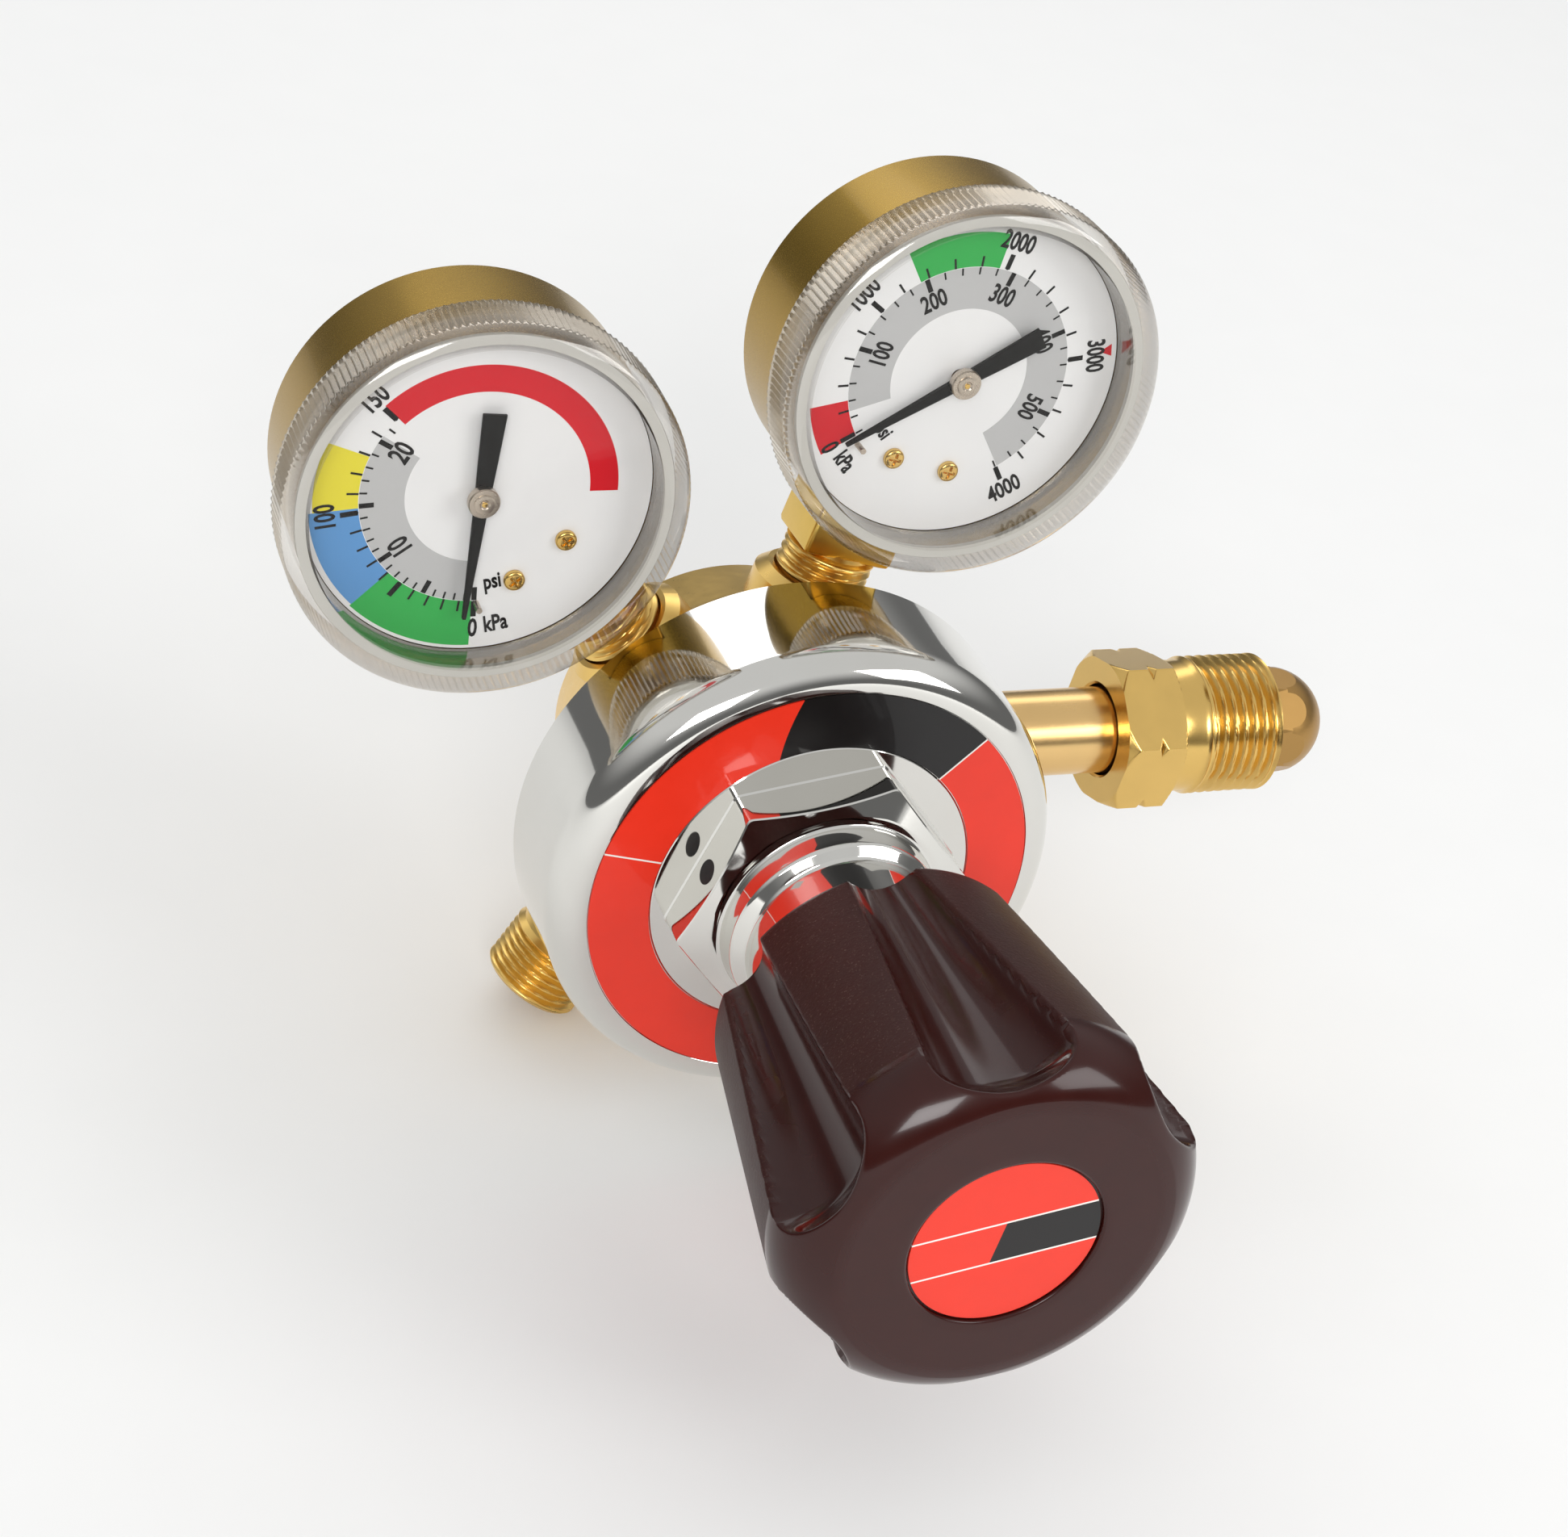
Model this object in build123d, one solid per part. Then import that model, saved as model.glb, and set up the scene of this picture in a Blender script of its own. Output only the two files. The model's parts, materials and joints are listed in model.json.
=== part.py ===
from build123d import *
from math import acos, cos, degrees, pi, radians, sin, sqrt, tan
import os

# A single-stage gas regulator: brass body, chromed bonnet with an adjusting knob,
# two bottom-entry pressure gauges, a bullnose inlet with its union nut, and a threaded outlet.
# Millimetres. The origin is the centre of the inlet nut's thread, +X points out of the inlet,
# +Z is up and the knob faces -Y. Distances "ahead" are measured from the bonnet's rim towards
# the knob, along the knob's axis.

# ---- driving dimensions ----
clearance = 0.05             # between a shank and its hole
knob_axis_x = -85.4          # the knob's axis, parallel to Y
rim_y = -13.7                # the bonnet's rim lies this far in front of the inlet's axis
port_ahead = -13.7           # inlet and gauge ports, behind the rim
outlet_ahead = -18.4
contents_port_angle = 75.5   # directions around the knob's axis, from +X towards +Z
working_port_angle = 133.0
outlet_angle = 241.0
gauge_lean = 3.05            # the gauge ports lean back from square

body_rim_radius = 36.0
body_face_ahead = 10.0
body_back_ahead = -29.7
chamber_radius = 27.0
chamber_floor_ahead = 5.0
valve_bore_radius = 7.5
valve_bore_ahead = -4.0
gauge_boss_radius = 9.8
gauge_boss_face = 33.0       # distance from the knob's axis
inlet_boss_radius = 11.0
inlet_boss_face = 35.0
outlet_boss_radius = 10.5
outlet_boss_face = 40.0
socket_depth_in_body = 12.0
seal_seat_radius = 9.6
seal_seat_depth = 1.7
nozzle_thread_radius = 5.0
passage_distance = 19.5      # of the two drillings up into the chamber, from the knob's axis

bonnet_radius = 39.85
bonnet_face_ahead = 22.2
bonnet_edge_radius = 5.2
label_outer_radius = 34.46
label_inner_radius = 25.2
label_thickness = 0.3
hexagon_across_flats = 39.5
hexagon_corner_angle = 70.0
hexagon_corner_ahead = 28.0      # where the chamfer meets the corners
hexagon_front_ahead = 29.9
hexagon_front_radius = 18.05
collar_foot_radius = 17.0
collar_top_radius = 15.8
collar_top_ahead = 33.8
neck_radius = 14.5
neck_foot_ahead = 35.2
neck_end_ahead = 54.0
body_recess_ahead = 12.85        # the bonnet's step over the slip ring
bonnet_ceiling_ahead = 17.2
bonnet_ceiling_radius = 31.0
spring_bore_radius = 11.9
spring_bore_end = 44.5
vent_angle = 160.0
vent_ahead = 25.6
vent_radius = 1.9

diaphragm_thickness = 1.6
diaphragm_plate_radius = 21.0
slip_ring_thickness = 1.2
spring_seat_ahead = 14.0
spring_button_ahead = 40.5       # leaves the spring 9 mm to its solid height, for 6 mm of screw travel
spring_button_thickness = 3.0
spring_button_radius = 11.6
spring_mean_radius = 9.6
spring_wire_radius = 1.7
spring_turns = 4

screw_radius = 5.95
screw_hole_radius = 2.55
screw_end_ahead = 88.0
knob_rear_ahead = 49.5
knob_rear_radius = 24.0
knob_brim_ahead = 90.5
knob_brim_radius = 30.0
knob_brim_middle = (28.2, 97.2)  # a point on the rounded brim
knob_face_radius = 24.0
knob_face_ahead = 100.2
knob_hollow_radius = 15.8
knob_hollow_end = 66.0
knob_label_radius = 13.57
knob_label_ahead = 99.7
flute_count = 6
flute_first_angle = 98.0
flute_rear_half_width = 5.05
flute_rear_floor = 20.6
flute_front_half_width = 9.8
flute_front_floor = 22.0

inlet_thread_radius = 11.455     # 5/8 inch pipe thread, 14 to the inch
inlet_thread_pitch = 25.4 / 14
inlet_thread_turns = 7
nut_across_flats = 23.5
nut_corner_angle = 41.4
nut_back_x = -22.0
nut_collar_x = -11.5
nut_collar_radius = 10.9
nut_bore_radius = 7.6
nut_socket_radius = 9.5
nut_socket_x = -2.0
tube_radius = 7.1
tube_bore_radius = 3.0
nose_radius = 9.0
nose_tip_x = 18.8
nose_facet_across = 17.0

outlet_thread_radius = 8.33      # 3/8 inch pipe thread, 19 to the inch
outlet_thread_pitch = 25.4 / 19
outlet_thread_turns = 6
outlet_end = 54.5
outlet_neck_radius = 7.6
outlet_bore_radius = 3.0
outlet_shank_radius = 6.95
outlet_shank_length = 10.5

# gauges, in a frame of their own: origin where the gauge's axis meets its stem's axis,
# +Z up the stem and away from the body, the dial faces -Y
gauge_stem_length = 41.0         # from the port's face to the gauge's axis
case_radius = 26.8
case_wall = 0.8
case_back_y = 5.4
case_front_y = -17.8
socket_width = 15.0
socket_depth = 11.6
socket_foot_z = -35.4
socket_top_z = -11.5
socket_shoulder_z = -23.4        # the foot is thicker below this, where it leaves the case
stem_radius = 7.2
stem_thread_radius = 6.6
stem_pitch = 25.4 / 18
stem_turns = 3
lens_radius = 29.1
lens_skirt_back_y = -11.8
lens_skirt_front_y = -19.7
lens_bore_radius = 27.0
window_radius = 25.2
gasket_front = 18.6
dial_front_y = -13.6
dial_thickness = 0.6
dial_radius = 25.0
dial_screw_spacing = 9.4
dial_screw_z = -14.4
dial_screw_radius = 0.8
pointer_front_y = -15.4
pointer_thickness = 0.5
pointer_tip = 19.3
pointer_tail = 13.2
zero_angle = 225.0               # pointer angles run clockwise from the top, seen from the front
hub_radius = 2.3
tube_mean_radius = 18.0
gear_module = 0.25
pinion_teeth = 10
sector_teeth = 72                # teeth of the whole wheel that the sector is cut from
sector_kept_teeth = 13
sector_pivot_z = -(pinion_teeth + sector_teeth) * gear_module / 2


# ---- shared helpers ----
def polar(radius, angle):
    return (radius * cos(radians(angle)), radius * sin(radians(angle)))


def turned(outline, place=Location()):
    """A solid turned about its own axis from a closed outline of (radius, along the axis)."""
    face = Plane.XZ * make_face(Polyline(*outline, close=True))
    return place * revolve(face, axis=Axis.Z)


def rod(radius, start, end, place=Location()):
    upwards = (Align.CENTER, Align.CENTER, Align.MIN)
    return place * Pos(0, 0, start) * Cylinder(radius, end - start, align=upwards)


def block(x, y, z):
    """A box from three (low, high) pairs."""
    size = (x[1] - x[0], y[1] - y[0], z[1] - z[0])
    middle = ((x[0] + x[1]) / 2, (y[0] + y[1]) / 2, (z[0] + z[1]) / 2)
    return Pos(*middle) * Box(*size)


def hexagon(across_flats, start, end, corner_angle=0, place=Location()):
    corner = across_flats / 2 / cos(pi / 6)
    points = [polar(corner, corner_angle + 60 * index) for index in range(6)]
    outline = make_face(Polyline(*points, close=True))
    return place * Pos(0, 0, start) * extrude(outline, amount=end - start)


crest_share = 0.2    # a thread's flat crest, as a share of its pitch


def thread_length(pitch, turns):
    return (turns + crest_share) * pitch


def thread_outline(radius, pitch, turns, start):
    """Outer points of a ridged stretch: one V groove for each turn, with narrow flat crests."""
    depth = 0.6 * pitch
    crest = crest_share * pitch
    points = [(radius, start)]
    for turn in range(turns):
        foot = start + turn * pitch
        points.append((radius, foot + crest))
        points.append((radius - depth, foot + (pitch + crest) / 2))
        points.append((radius, foot + pitch))
    points.append((radius, start + thread_length(pitch, turns)))
    return points


def coil(mean_radius, wire_radius, start, end, turns, place=Location()):
    """A compression spring, wire centred a wire's radius inside both ends."""
    height = end - start - 2 * wire_radius
    path = Helix(pitch=height / turns, height=height, radius=mean_radius)
    section = Plane(origin=path @ 0, z_dir=path % 0) * Circle(wire_radius)
    return place * Pos(0, 0, start + wire_radius) * sweep(section, path=path, is_frenet=True)


knob_frame = Plane(origin=(knob_axis_x, rim_y, 0), x_dir=(1, 0, 0), z_dir=(0, -1, 0)).location
inlet_frame = Plane(origin=(0, 0, 0), x_dir=(0, 1, 0), z_dir=(1, 0, 0)).location


def port_frame(angle, ahead, distance, lean=0):
    """Local +Z runs out of the port, local +Y towards the regulator's back."""
    across, up = polar(1, angle)
    outward = Vector(across * cos(radians(lean)), sin(radians(lean)), up * cos(radians(lean)))
    backward = Vector(-across * sin(radians(lean)), cos(radians(lean)), -up * sin(radians(lean)))
    origin = (knob_axis_x + across * distance, rim_y - ahead, up * distance)
    return Plane(origin=origin, x_dir=backward.cross(outward), z_dir=outward)


inlet_port = port_frame(0, port_ahead, inlet_boss_face).location
outlet_frame = port_frame(outlet_angle, outlet_ahead, 0).location
contents_port = port_frame(contents_port_angle, port_ahead, gauge_boss_face, gauge_lean).location
working_port = port_frame(working_port_angle, port_ahead, gauge_boss_face, gauge_lean).location
contents_gauge = contents_port * Pos(0, 0, gauge_stem_length)
working_gauge = working_port * Pos(0, 0, gauge_stem_length)

nodes = {}


# ---- regulator body ----
def boss(radius, start, face_distance, place):
    edge = 1.6
    return turned([(0, start), (radius, start), (radius, face_distance - edge),
                   (radius - edge, face_distance), (0, face_distance)], place)


def gauge_socket_hole(place):
    depth = socket_depth_in_body
    hole_radius = stem_thread_radius + clearance
    outline = [(0, -depth), (hole_radius, -depth), (hole_radius, -2), (stem_radius + 0.5, 1), (0, 1)]
    return turned(outline, place)


def regulator_body():
    core = turned([
        (0, body_back_ahead), (23.5, body_back_ahead), (25.5, body_back_ahead + 2),
        (28.5, -15), (32, -3), (body_rim_radius, -1), (body_rim_radius, body_face_ahead),
        (chamber_radius, body_face_ahead), (chamber_radius, chamber_floor_ahead), (0, chamber_floor_ahead),
    ], knob_frame)
    buried = 26
    core += boss(gauge_boss_radius, -buried, 0, contents_port)
    core += boss(gauge_boss_radius, -buried, 0, working_port)
    core += boss(inlet_boss_radius, -buried, 0, inlet_port)
    core += boss(outlet_boss_radius, outlet_boss_face - buried, outlet_boss_face, outlet_frame)
    core -= rod(valve_bore_radius, body_back_ahead - 1, valve_bore_ahead, knob_frame)
    core -= rod(seal_seat_radius, body_back_ahead - 1, body_back_ahead + seal_seat_depth, knob_frame)
    core -= rod(nozzle_thread_radius, valve_bore_ahead - 1, chamber_floor_ahead + 1, knob_frame)
    # sockets and passages
    deep = socket_depth_in_body
    core -= gauge_socket_hole(contents_port)
    core -= gauge_socket_hole(working_port)
    core -= rod(2.0, -gauge_boss_face, 1 - deep, contents_port)
    core -= rod(2.0, -15, 1 - deep, working_port)
    core -= rod(tube_radius + clearance, -deep, 1, inlet_port)
    core -= rod(tube_bore_radius, -inlet_boss_face, 1 - deep, inlet_port)
    core -= rod(outlet_shank_radius + clearance, outlet_boss_face - outlet_shank_length - 0.5,
                outlet_boss_face + 1, outlet_frame)
    core -= rod(outlet_bore_radius, 17, outlet_boss_face - outlet_shank_length, outlet_frame)
    for angle, ahead, radius in ((working_port_angle, port_ahead, 1.75), (outlet_angle, outlet_ahead, 2.5)):
        drill = Pos(*polar(passage_distance, angle), 0) * rod(radius, ahead, chamber_floor_ahead + 1)
        core -= knob_frame * drill
    return core


nodes["regulator_body"] = regulator_body()


# ---- bonnet and its label ----
def bonnet_outline():
    """Closed half section of the turned shell, before its hexagon."""
    edge = bonnet_edge_radius
    face_start = (bonnet_radius, bonnet_face_ahead - edge)
    face_end = (bonnet_radius - edge, bonnet_face_ahead)
    screw_bore = screw_radius + 0.1
    spigot = body_rim_radius + clearance
    ceiling = bonnet_ceiling_ahead
    inside = Polyline((neck_radius, neck_end_ahead), (screw_bore, neck_end_ahead),
                      (screw_bore, spring_bore_end), (spring_bore_radius, spring_bore_end),
                      (spring_bore_radius, ceiling), (bonnet_ceiling_radius, ceiling),
                      (bonnet_ceiling_radius, body_recess_ahead), (spigot, body_recess_ahead), (spigot, 0),
                      (bonnet_radius, 0), face_start)
    shoulder = RadiusArc(face_start, face_end, -edge)
    recess_floor = bonnet_face_ahead - label_thickness
    recess_outer = label_outer_radius + 0.1
    recess_inner = label_inner_radius - 0.1
    top = Polyline(face_end, (recess_outer, bonnet_face_ahead), (recess_outer, recess_floor),
                   (recess_inner, recess_floor), (recess_inner, bonnet_face_ahead),
                   (neck_radius, bonnet_face_ahead), (neck_radius, neck_end_ahead))
    return [*inside.edges(), *shoulder.edges(), *top.edges()]


def bonnet():
    shell = revolve(Plane.XZ * make_face(bonnet_outline()), axis=Axis.Z)
    beyond_corner = hexagon_across_flats / 2 / cos(pi / 6) + 0.1
    # chamfered hexagon, then a tapered collar whose shoulder runs into the neck
    envelope = turned([(spring_bore_radius, bonnet_face_ahead), (beyond_corner, bonnet_face_ahead),
                       (beyond_corner, hexagon_corner_ahead), (hexagon_front_radius, hexagon_front_ahead),
                       (collar_foot_radius, hexagon_front_ahead), (collar_top_radius, collar_top_ahead),
                       (collar_top_radius - 0.4, collar_top_ahead + 0.8), (neck_radius, neck_foot_ahead),
                       (spring_bore_radius, neck_foot_ahead)])
    shell += envelope & hexagon(hexagon_across_flats, bonnet_face_ahead, neck_end_ahead, hexagon_corner_angle)
    vent = Location((0, 0, vent_ahead), (0, 90, vent_angle)) * rod(vent_radius, spring_bore_radius - 3, 26)
    return knob_frame * (shell - vent)


nodes["bonnet"] = bonnet()
label_back = bonnet_face_ahead - label_thickness
label_ring = Circle(label_outer_radius) - Circle(label_inner_radius)
nodes["bonnet_label"] = knob_frame * Pos(0, 0, label_back) * extrude(label_ring, amount=label_thickness)

# ---- diaphragm stack ----
diaphragm_front = body_face_ahead + diaphragm_thickness
nodes["diaphragm"] = turned([(4.0, body_face_ahead), (35.9, body_face_ahead), (35.9, diaphragm_front),
                             (4.0, diaphragm_front)], knob_frame)
nodes["slip_ring"] = turned([(31.2, diaphragm_front), (35.9, diaphragm_front),
                             (35.9, diaphragm_front + slip_ring_thickness),
                             (31.2, diaphragm_front + slip_ring_thickness)], knob_frame)
plate_back = diaphragm_front + 0.05
nodes["diaphragm_plate"] = turned([(3.95, plate_back), (diaphragm_plate_radius, plate_back),
                                   (diaphragm_plate_radius, spring_seat_ahead), (7.4, spring_seat_ahead),
                                   (7.0, spring_seat_ahead + 2), (3.95, spring_seat_ahead + 2)], knob_frame)
pusher_back = 8.6
nodes["diaphragm_pusher"] = turned([(0, pusher_back), (8, pusher_back), (8, body_face_ahead - 0.05),
                                    (3.9, body_face_ahead - 0.05), (3.9, spring_seat_ahead + 2),
                                    (5.2, spring_seat_ahead + 2), (4.4, spring_seat_ahead + 3),
                                    (0, spring_seat_ahead + 3)], knob_frame)
nodes["adjusting_spring"] = coil(spring_mean_radius, spring_wire_radius, spring_seat_ahead + 0.05,
                                 spring_button_ahead - 0.05, spring_turns, knob_frame)
button_front = spring_button_ahead + spring_button_thickness
nodes["spring_button"] = turned([(0, spring_button_ahead - 2), (6.5, spring_button_ahead - 2),
                                 (7, spring_button_ahead), (spring_button_radius, spring_button_ahead),
                                 (spring_button_radius, button_front), (0, button_front)], knob_frame)

# ---- adjusting screw and knob ----
hole_end = screw_end_ahead - 12
nodes["adjusting_screw"] = turned([(0, button_front), (4, button_front), (screw_radius, button_front + 2.5),
                                   (screw_radius, screw_end_ahead), (screw_hole_radius, screw_end_ahead),
                                   (screw_hole_radius, hole_end), (0, hole_end)], knob_frame)
head_seat = screw_end_ahead + 1
nodes["knob_screw"] = turned([(0, hole_end + 1), (2.5, hole_end + 1), (2.5, head_seat), (5, head_seat),
                              (5, head_seat + 3), (1.5, head_seat + 3), (1.5, head_seat + 1),
                              (0, head_seat + 1)], knob_frame)
knob_label_back = knob_label_ahead - 0.4
nodes["knob_label"] = rod(knob_label_radius, knob_label_back, knob_label_ahead, knob_frame)


def flute_cutter():
    """A cone that leaves the flute's width and floor right at the knob's rear and front."""
    faces = []
    stations = ((knob_rear_ahead - 1, knob_rear_radius, flute_rear_half_width, flute_rear_floor),
                (knob_brim_ahead + 3, knob_brim_radius - 0.5, flute_front_half_width, flute_front_floor))
    for ahead, radius, half_width, floor in stations:
        depth = sqrt(radius ** 2 - half_width ** 2) - floor
        arc_radius = (half_width ** 2 + depth ** 2) / (2 * depth)
        faces.append(Pos(floor + arc_radius, 0, ahead) * Circle(arc_radius))
    return loft(faces)


def knob():
    counterbore = 7.0
    side = Polyline((knob_hollow_radius, knob_rear_ahead), (knob_rear_radius - 0.8, knob_rear_ahead),
                    (knob_rear_radius, knob_rear_ahead + 0.8), (knob_brim_radius, knob_brim_ahead))
    brim = ThreePointArc((knob_brim_radius, knob_brim_ahead), knob_brim_middle,
                         (knob_face_radius, knob_face_ahead))
    inside = Polyline((knob_face_radius, knob_face_ahead), (knob_label_radius + 0.35, knob_face_ahead),
                      (knob_label_radius + 0.35, knob_label_back), (counterbore, knob_label_back),
                      (counterbore, screw_end_ahead + 1), (2.6, screw_end_ahead + 1), (2.6, screw_end_ahead),
                      (screw_radius + 0.05, screw_end_ahead), (screw_radius + 0.05, knob_hollow_end),
                      (knob_hollow_radius, knob_hollow_end), (knob_hollow_radius, knob_rear_ahead))
    shape = revolve(Plane.XZ * make_face([*side.edges(), *brim.edges(), *inside.edges()]), axis=Axis.Z)
    cutter = flute_cutter()
    for index in range(flute_count):
        shape -= Rot(0, 0, flute_first_angle + index * 360 / flute_count) * cutter
    return knob_frame * shape


nodes["knob"] = knob()

# ---- high-pressure valve ----
nozzle_lip = -4.8
nozzle_radius = nozzle_thread_radius - clearance
nozzle_bore = 1.6
nodes["seat_nozzle"] = turned([(nozzle_bore, nozzle_lip), (2.4, nozzle_lip), (2.8, -4.2),
                               (nozzle_radius, -3.9), (nozzle_radius, chamber_floor_ahead),
                               (8, chamber_floor_ahead), (8, 7), (nozzle_bore, 7)], knob_frame)
seat_back = -7.0
seat_front = nozzle_lip - 0.05
seat_radius = 4.2
nodes["valve_pin"] = rod(1.0, seat_front, pusher_back - 0.05, knob_frame)
nodes["valve_seat"] = rod(seat_radius, seat_back, seat_front, knob_frame)
# the poppet's tail slides in the cap's bore
tail_radius = 2.5
shoulder_ahead = -12.0
nodes["valve_poppet"] = turned([(0, -23.5), (tail_radius, -23.5), (tail_radius, shoulder_ahead),
                                (5.3, shoulder_ahead), (5.3, -5.6), (seat_radius + 0.05, -5.6),
                                (seat_radius + 0.05, seat_back), (0, seat_back)], knob_frame)
cap_shank_top = -22.0
nodes["valve_spring"] = coil(3.9, 0.45, cap_shank_top + 0.05, shoulder_ahead - 0.05, 5, knob_frame)
cap_head = 6.3
cap_across_flats = 19
cap_corner_angle = 10
cap_corner_radius = cap_across_flats / 2 / cos(pi / 6)
cap_bore_radius = tail_radius + 0.1
cap_shank_radius = valve_bore_radius - clearance
head_start = body_back_ahead - cap_head
nodes["valve_cap"] = turned([(cap_bore_radius, -27), (cap_bore_radius, cap_shank_top),
                             (cap_shank_radius, cap_shank_top), (cap_shank_radius, body_back_ahead),
                             (0, body_back_ahead), (0, -27)], knob_frame)
cap_chamfer = turned([(0, head_start), (cap_corner_radius - 1.4, head_start),
                      (cap_corner_radius + 0.1, head_start + 1), (cap_corner_radius + 0.1, body_back_ahead),
                      (0, body_back_ahead)], knob_frame)
nodes["valve_cap"] += cap_chamfer & hexagon(cap_across_flats, head_start, body_back_ahead, cap_corner_angle,
                                            knob_frame)
nodes["valve_cap_seal"] = knob_frame * Pos(0, 0, body_back_ahead + 0.86) * Torus(8.6, 0.8)

# ---- inlet ----
inlet_depth = 11.5
tube_start_x = knob_axis_x + inlet_boss_face - inlet_depth
nose_socket_x = 6.0
nodes["inlet_tube"] = turned([(tube_bore_radius, tube_start_x), (tube_radius, tube_start_x),
                              (tube_radius, nose_socket_x), (tube_bore_radius, nose_socket_x)], inlet_frame)


def inlet_nut():
    crests = thread_outline(inlet_thread_radius, inlet_thread_pitch, inlet_thread_turns,
                            -thread_length(inlet_thread_pitch, inlet_thread_turns) / 2)
    thread_back_x = crests[0][1]
    thread_front_x = crests[-1][1]
    front_x = thread_front_x + 0.6
    barrel = turned([(nut_bore_radius, nut_back_x), (nut_collar_radius, nut_back_x),
                     (nut_collar_radius, thread_back_x), *crests, (inlet_thread_radius - 1, front_x),
                     (nut_socket_radius, front_x), (nut_socket_radius, nut_socket_x),
                     (nut_bore_radius, nut_socket_x)], inlet_frame)
    corner = nut_across_flats / 2 / cos(pi / 6)
    bevel = 1.5
    envelope = turned([(nut_bore_radius, nut_back_x), (corner - bevel, nut_back_x),
                       (corner, nut_back_x + bevel), (corner, nut_collar_x - bevel / 2),
                       (corner - bevel, nut_collar_x), (nut_bore_radius, nut_collar_x)], inlet_frame)
    head = envelope & hexagon(nut_across_flats, nut_back_x, nut_collar_x, nut_corner_angle, inlet_frame)
    notch = 1.2
    middle_x = (nut_back_x + nut_collar_x) / 2
    for index in range(6):
        groove = Location((*polar(corner, nut_corner_angle + 60 * index), middle_x + 0.5),
                          (0, 0, nut_corner_angle + 60 * index))
        cutter = groove * Rot(0, 45, 0) * Box(notch, 12, notch)
        head -= inlet_frame * cutter
    return barrel + head


nodes["inlet_nut"] = inlet_nut()


def inlet_nipple():
    body = turned([(0, -1.7), (9.2, -1.7), (9.2, 6.8), (nose_radius, 7.2), (0, 7.2)])
    facets = turned([(0, 7.2), (nose_radius, 7.2), (nose_radius + 0.2, 9.8), (0, 9.8)])
    facets += Pos(0, 0, nose_tip_x - nose_radius) * Sphere(nose_radius)
    points = [polar(nose_facet_across / 2 / cos(pi / 8), 22.5 + 45 * index) for index in range(8)]
    facets = facets & Pos(0, 0, 7.2) * extrude(make_face(Polyline(*points, close=True)), amount=20)
    shape = body + facets
    shape -= rod(tube_radius + 0.05, -3, nose_socket_x)
    shape -= rod(3.6, nose_socket_x - 1, 14)
    shape -= rod(2.0, 13, 30)
    return inlet_frame * shape


nodes["inlet_nipple"] = inlet_nipple()
filter_start = nose_socket_x + 0.1
nodes["inlet_filter"] = turned([(1.8, filter_start), (3.55, filter_start), (3.55, 13.9), (0, 13.9), (0, 12.6),
                                (1.8, 12.6)], inlet_frame)


# ---- outlet ----
def outlet_connector():
    start = outlet_end - outlet_thread_turns * outlet_thread_pitch - 0.9
    crests = thread_outline(outlet_thread_radius, outlet_thread_pitch, outlet_thread_turns, start)
    shank_start = outlet_boss_face - outlet_shank_length
    flange_radius = 9.0
    mouth_radius = 5.4
    cone_end = outlet_end - (mouth_radius - outlet_bore_radius) / tan(radians(30))
    outline = [(outlet_bore_radius, shank_start), (outlet_shank_radius, shank_start),
               (outlet_shank_radius, outlet_boss_face), (flange_radius, outlet_boss_face),
               (flange_radius, outlet_boss_face + 1), (outlet_neck_radius, outlet_boss_face + 1.6),
               (outlet_neck_radius, start), *crests, (outlet_thread_radius - 0.6, outlet_end),
               (mouth_radius, outlet_end), (outlet_bore_radius, cone_end)]
    return turned(outline, outlet_frame)


nodes["outlet_connector"] = outlet_connector()


# ---- gauges ----
def forward_frame(y):
    """Local +Z runs forward, out of the dial, from the plane at y."""
    return Plane(origin=(0, y, 0), x_dir=(1, 0, 0), z_dir=(0, -1, 0)).location


def gauge_case():
    depth = case_back_y - case_front_y
    inner = case_radius - case_wall
    edge = 1.5
    cup = turned([(0, 0), (case_radius - edge, 0), (case_radius, edge), (case_radius, depth), (inner, depth),
                  (inner, case_wall + edge), (inner - edge, case_wall), (0, case_wall)],
                 forward_frame(case_back_y))
    half = socket_width / 2 + 0.1
    notch_depth = (case_back_y - socket_depth - 0.1, case_back_y + 1)
    return cup - block((-half, half), notch_depth, (-case_radius - 1, socket_shoulder_z + 0.1))


def bourdon_ring(width, height, start, end):
    """Part of a flattened ring about the gauge's axis, from start to end in degrees."""
    middle_y = -1.2
    section = Pos(tube_mean_radius, 0) * Rectangle(height, width)
    ring = revolve(Plane.XZ * section, axis=Axis.Z, revolution_arc=end - start)
    return forward_frame(middle_y) * Rot(0, 0, start) * ring


def socket_block():
    half = socket_width / 2
    front = case_back_y - socket_depth
    shape = block((-half, half), (front, case_back_y), (socket_foot_z, socket_shoulder_z))
    shape += block((-half, half), (front, case_back_y - case_wall - 0.2), (-25, socket_top_z))
    crests = thread_outline(stem_radius, stem_pitch, stem_turns, 0)
    thread = [(radius, -gauge_stem_length + 0.6 + along) for radius, along in crests]
    stem_end = -gauge_stem_length - 11
    shape += turned([(2, stem_end), (stem_thread_radius, stem_end), (stem_thread_radius, -gauge_stem_length),
                     *thread, (stem_radius - 0.8, socket_foot_z + 0.1), (2, socket_foot_z + 0.1)])
    shape -= rod(2, -gauge_stem_length - 12, -17)
    shape -= Location((0, -0.8, -17.3), (0, -90, 0)) * rod(1.2, 0, 5.5)
    return shape - bourdon_ring(8, 4.8, 235, 254)


def bourdon_tube():
    return bourdon_ring(8, 4.8, 2, 254) - bourdon_ring(7.2, 4.0, 3, 256)


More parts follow.
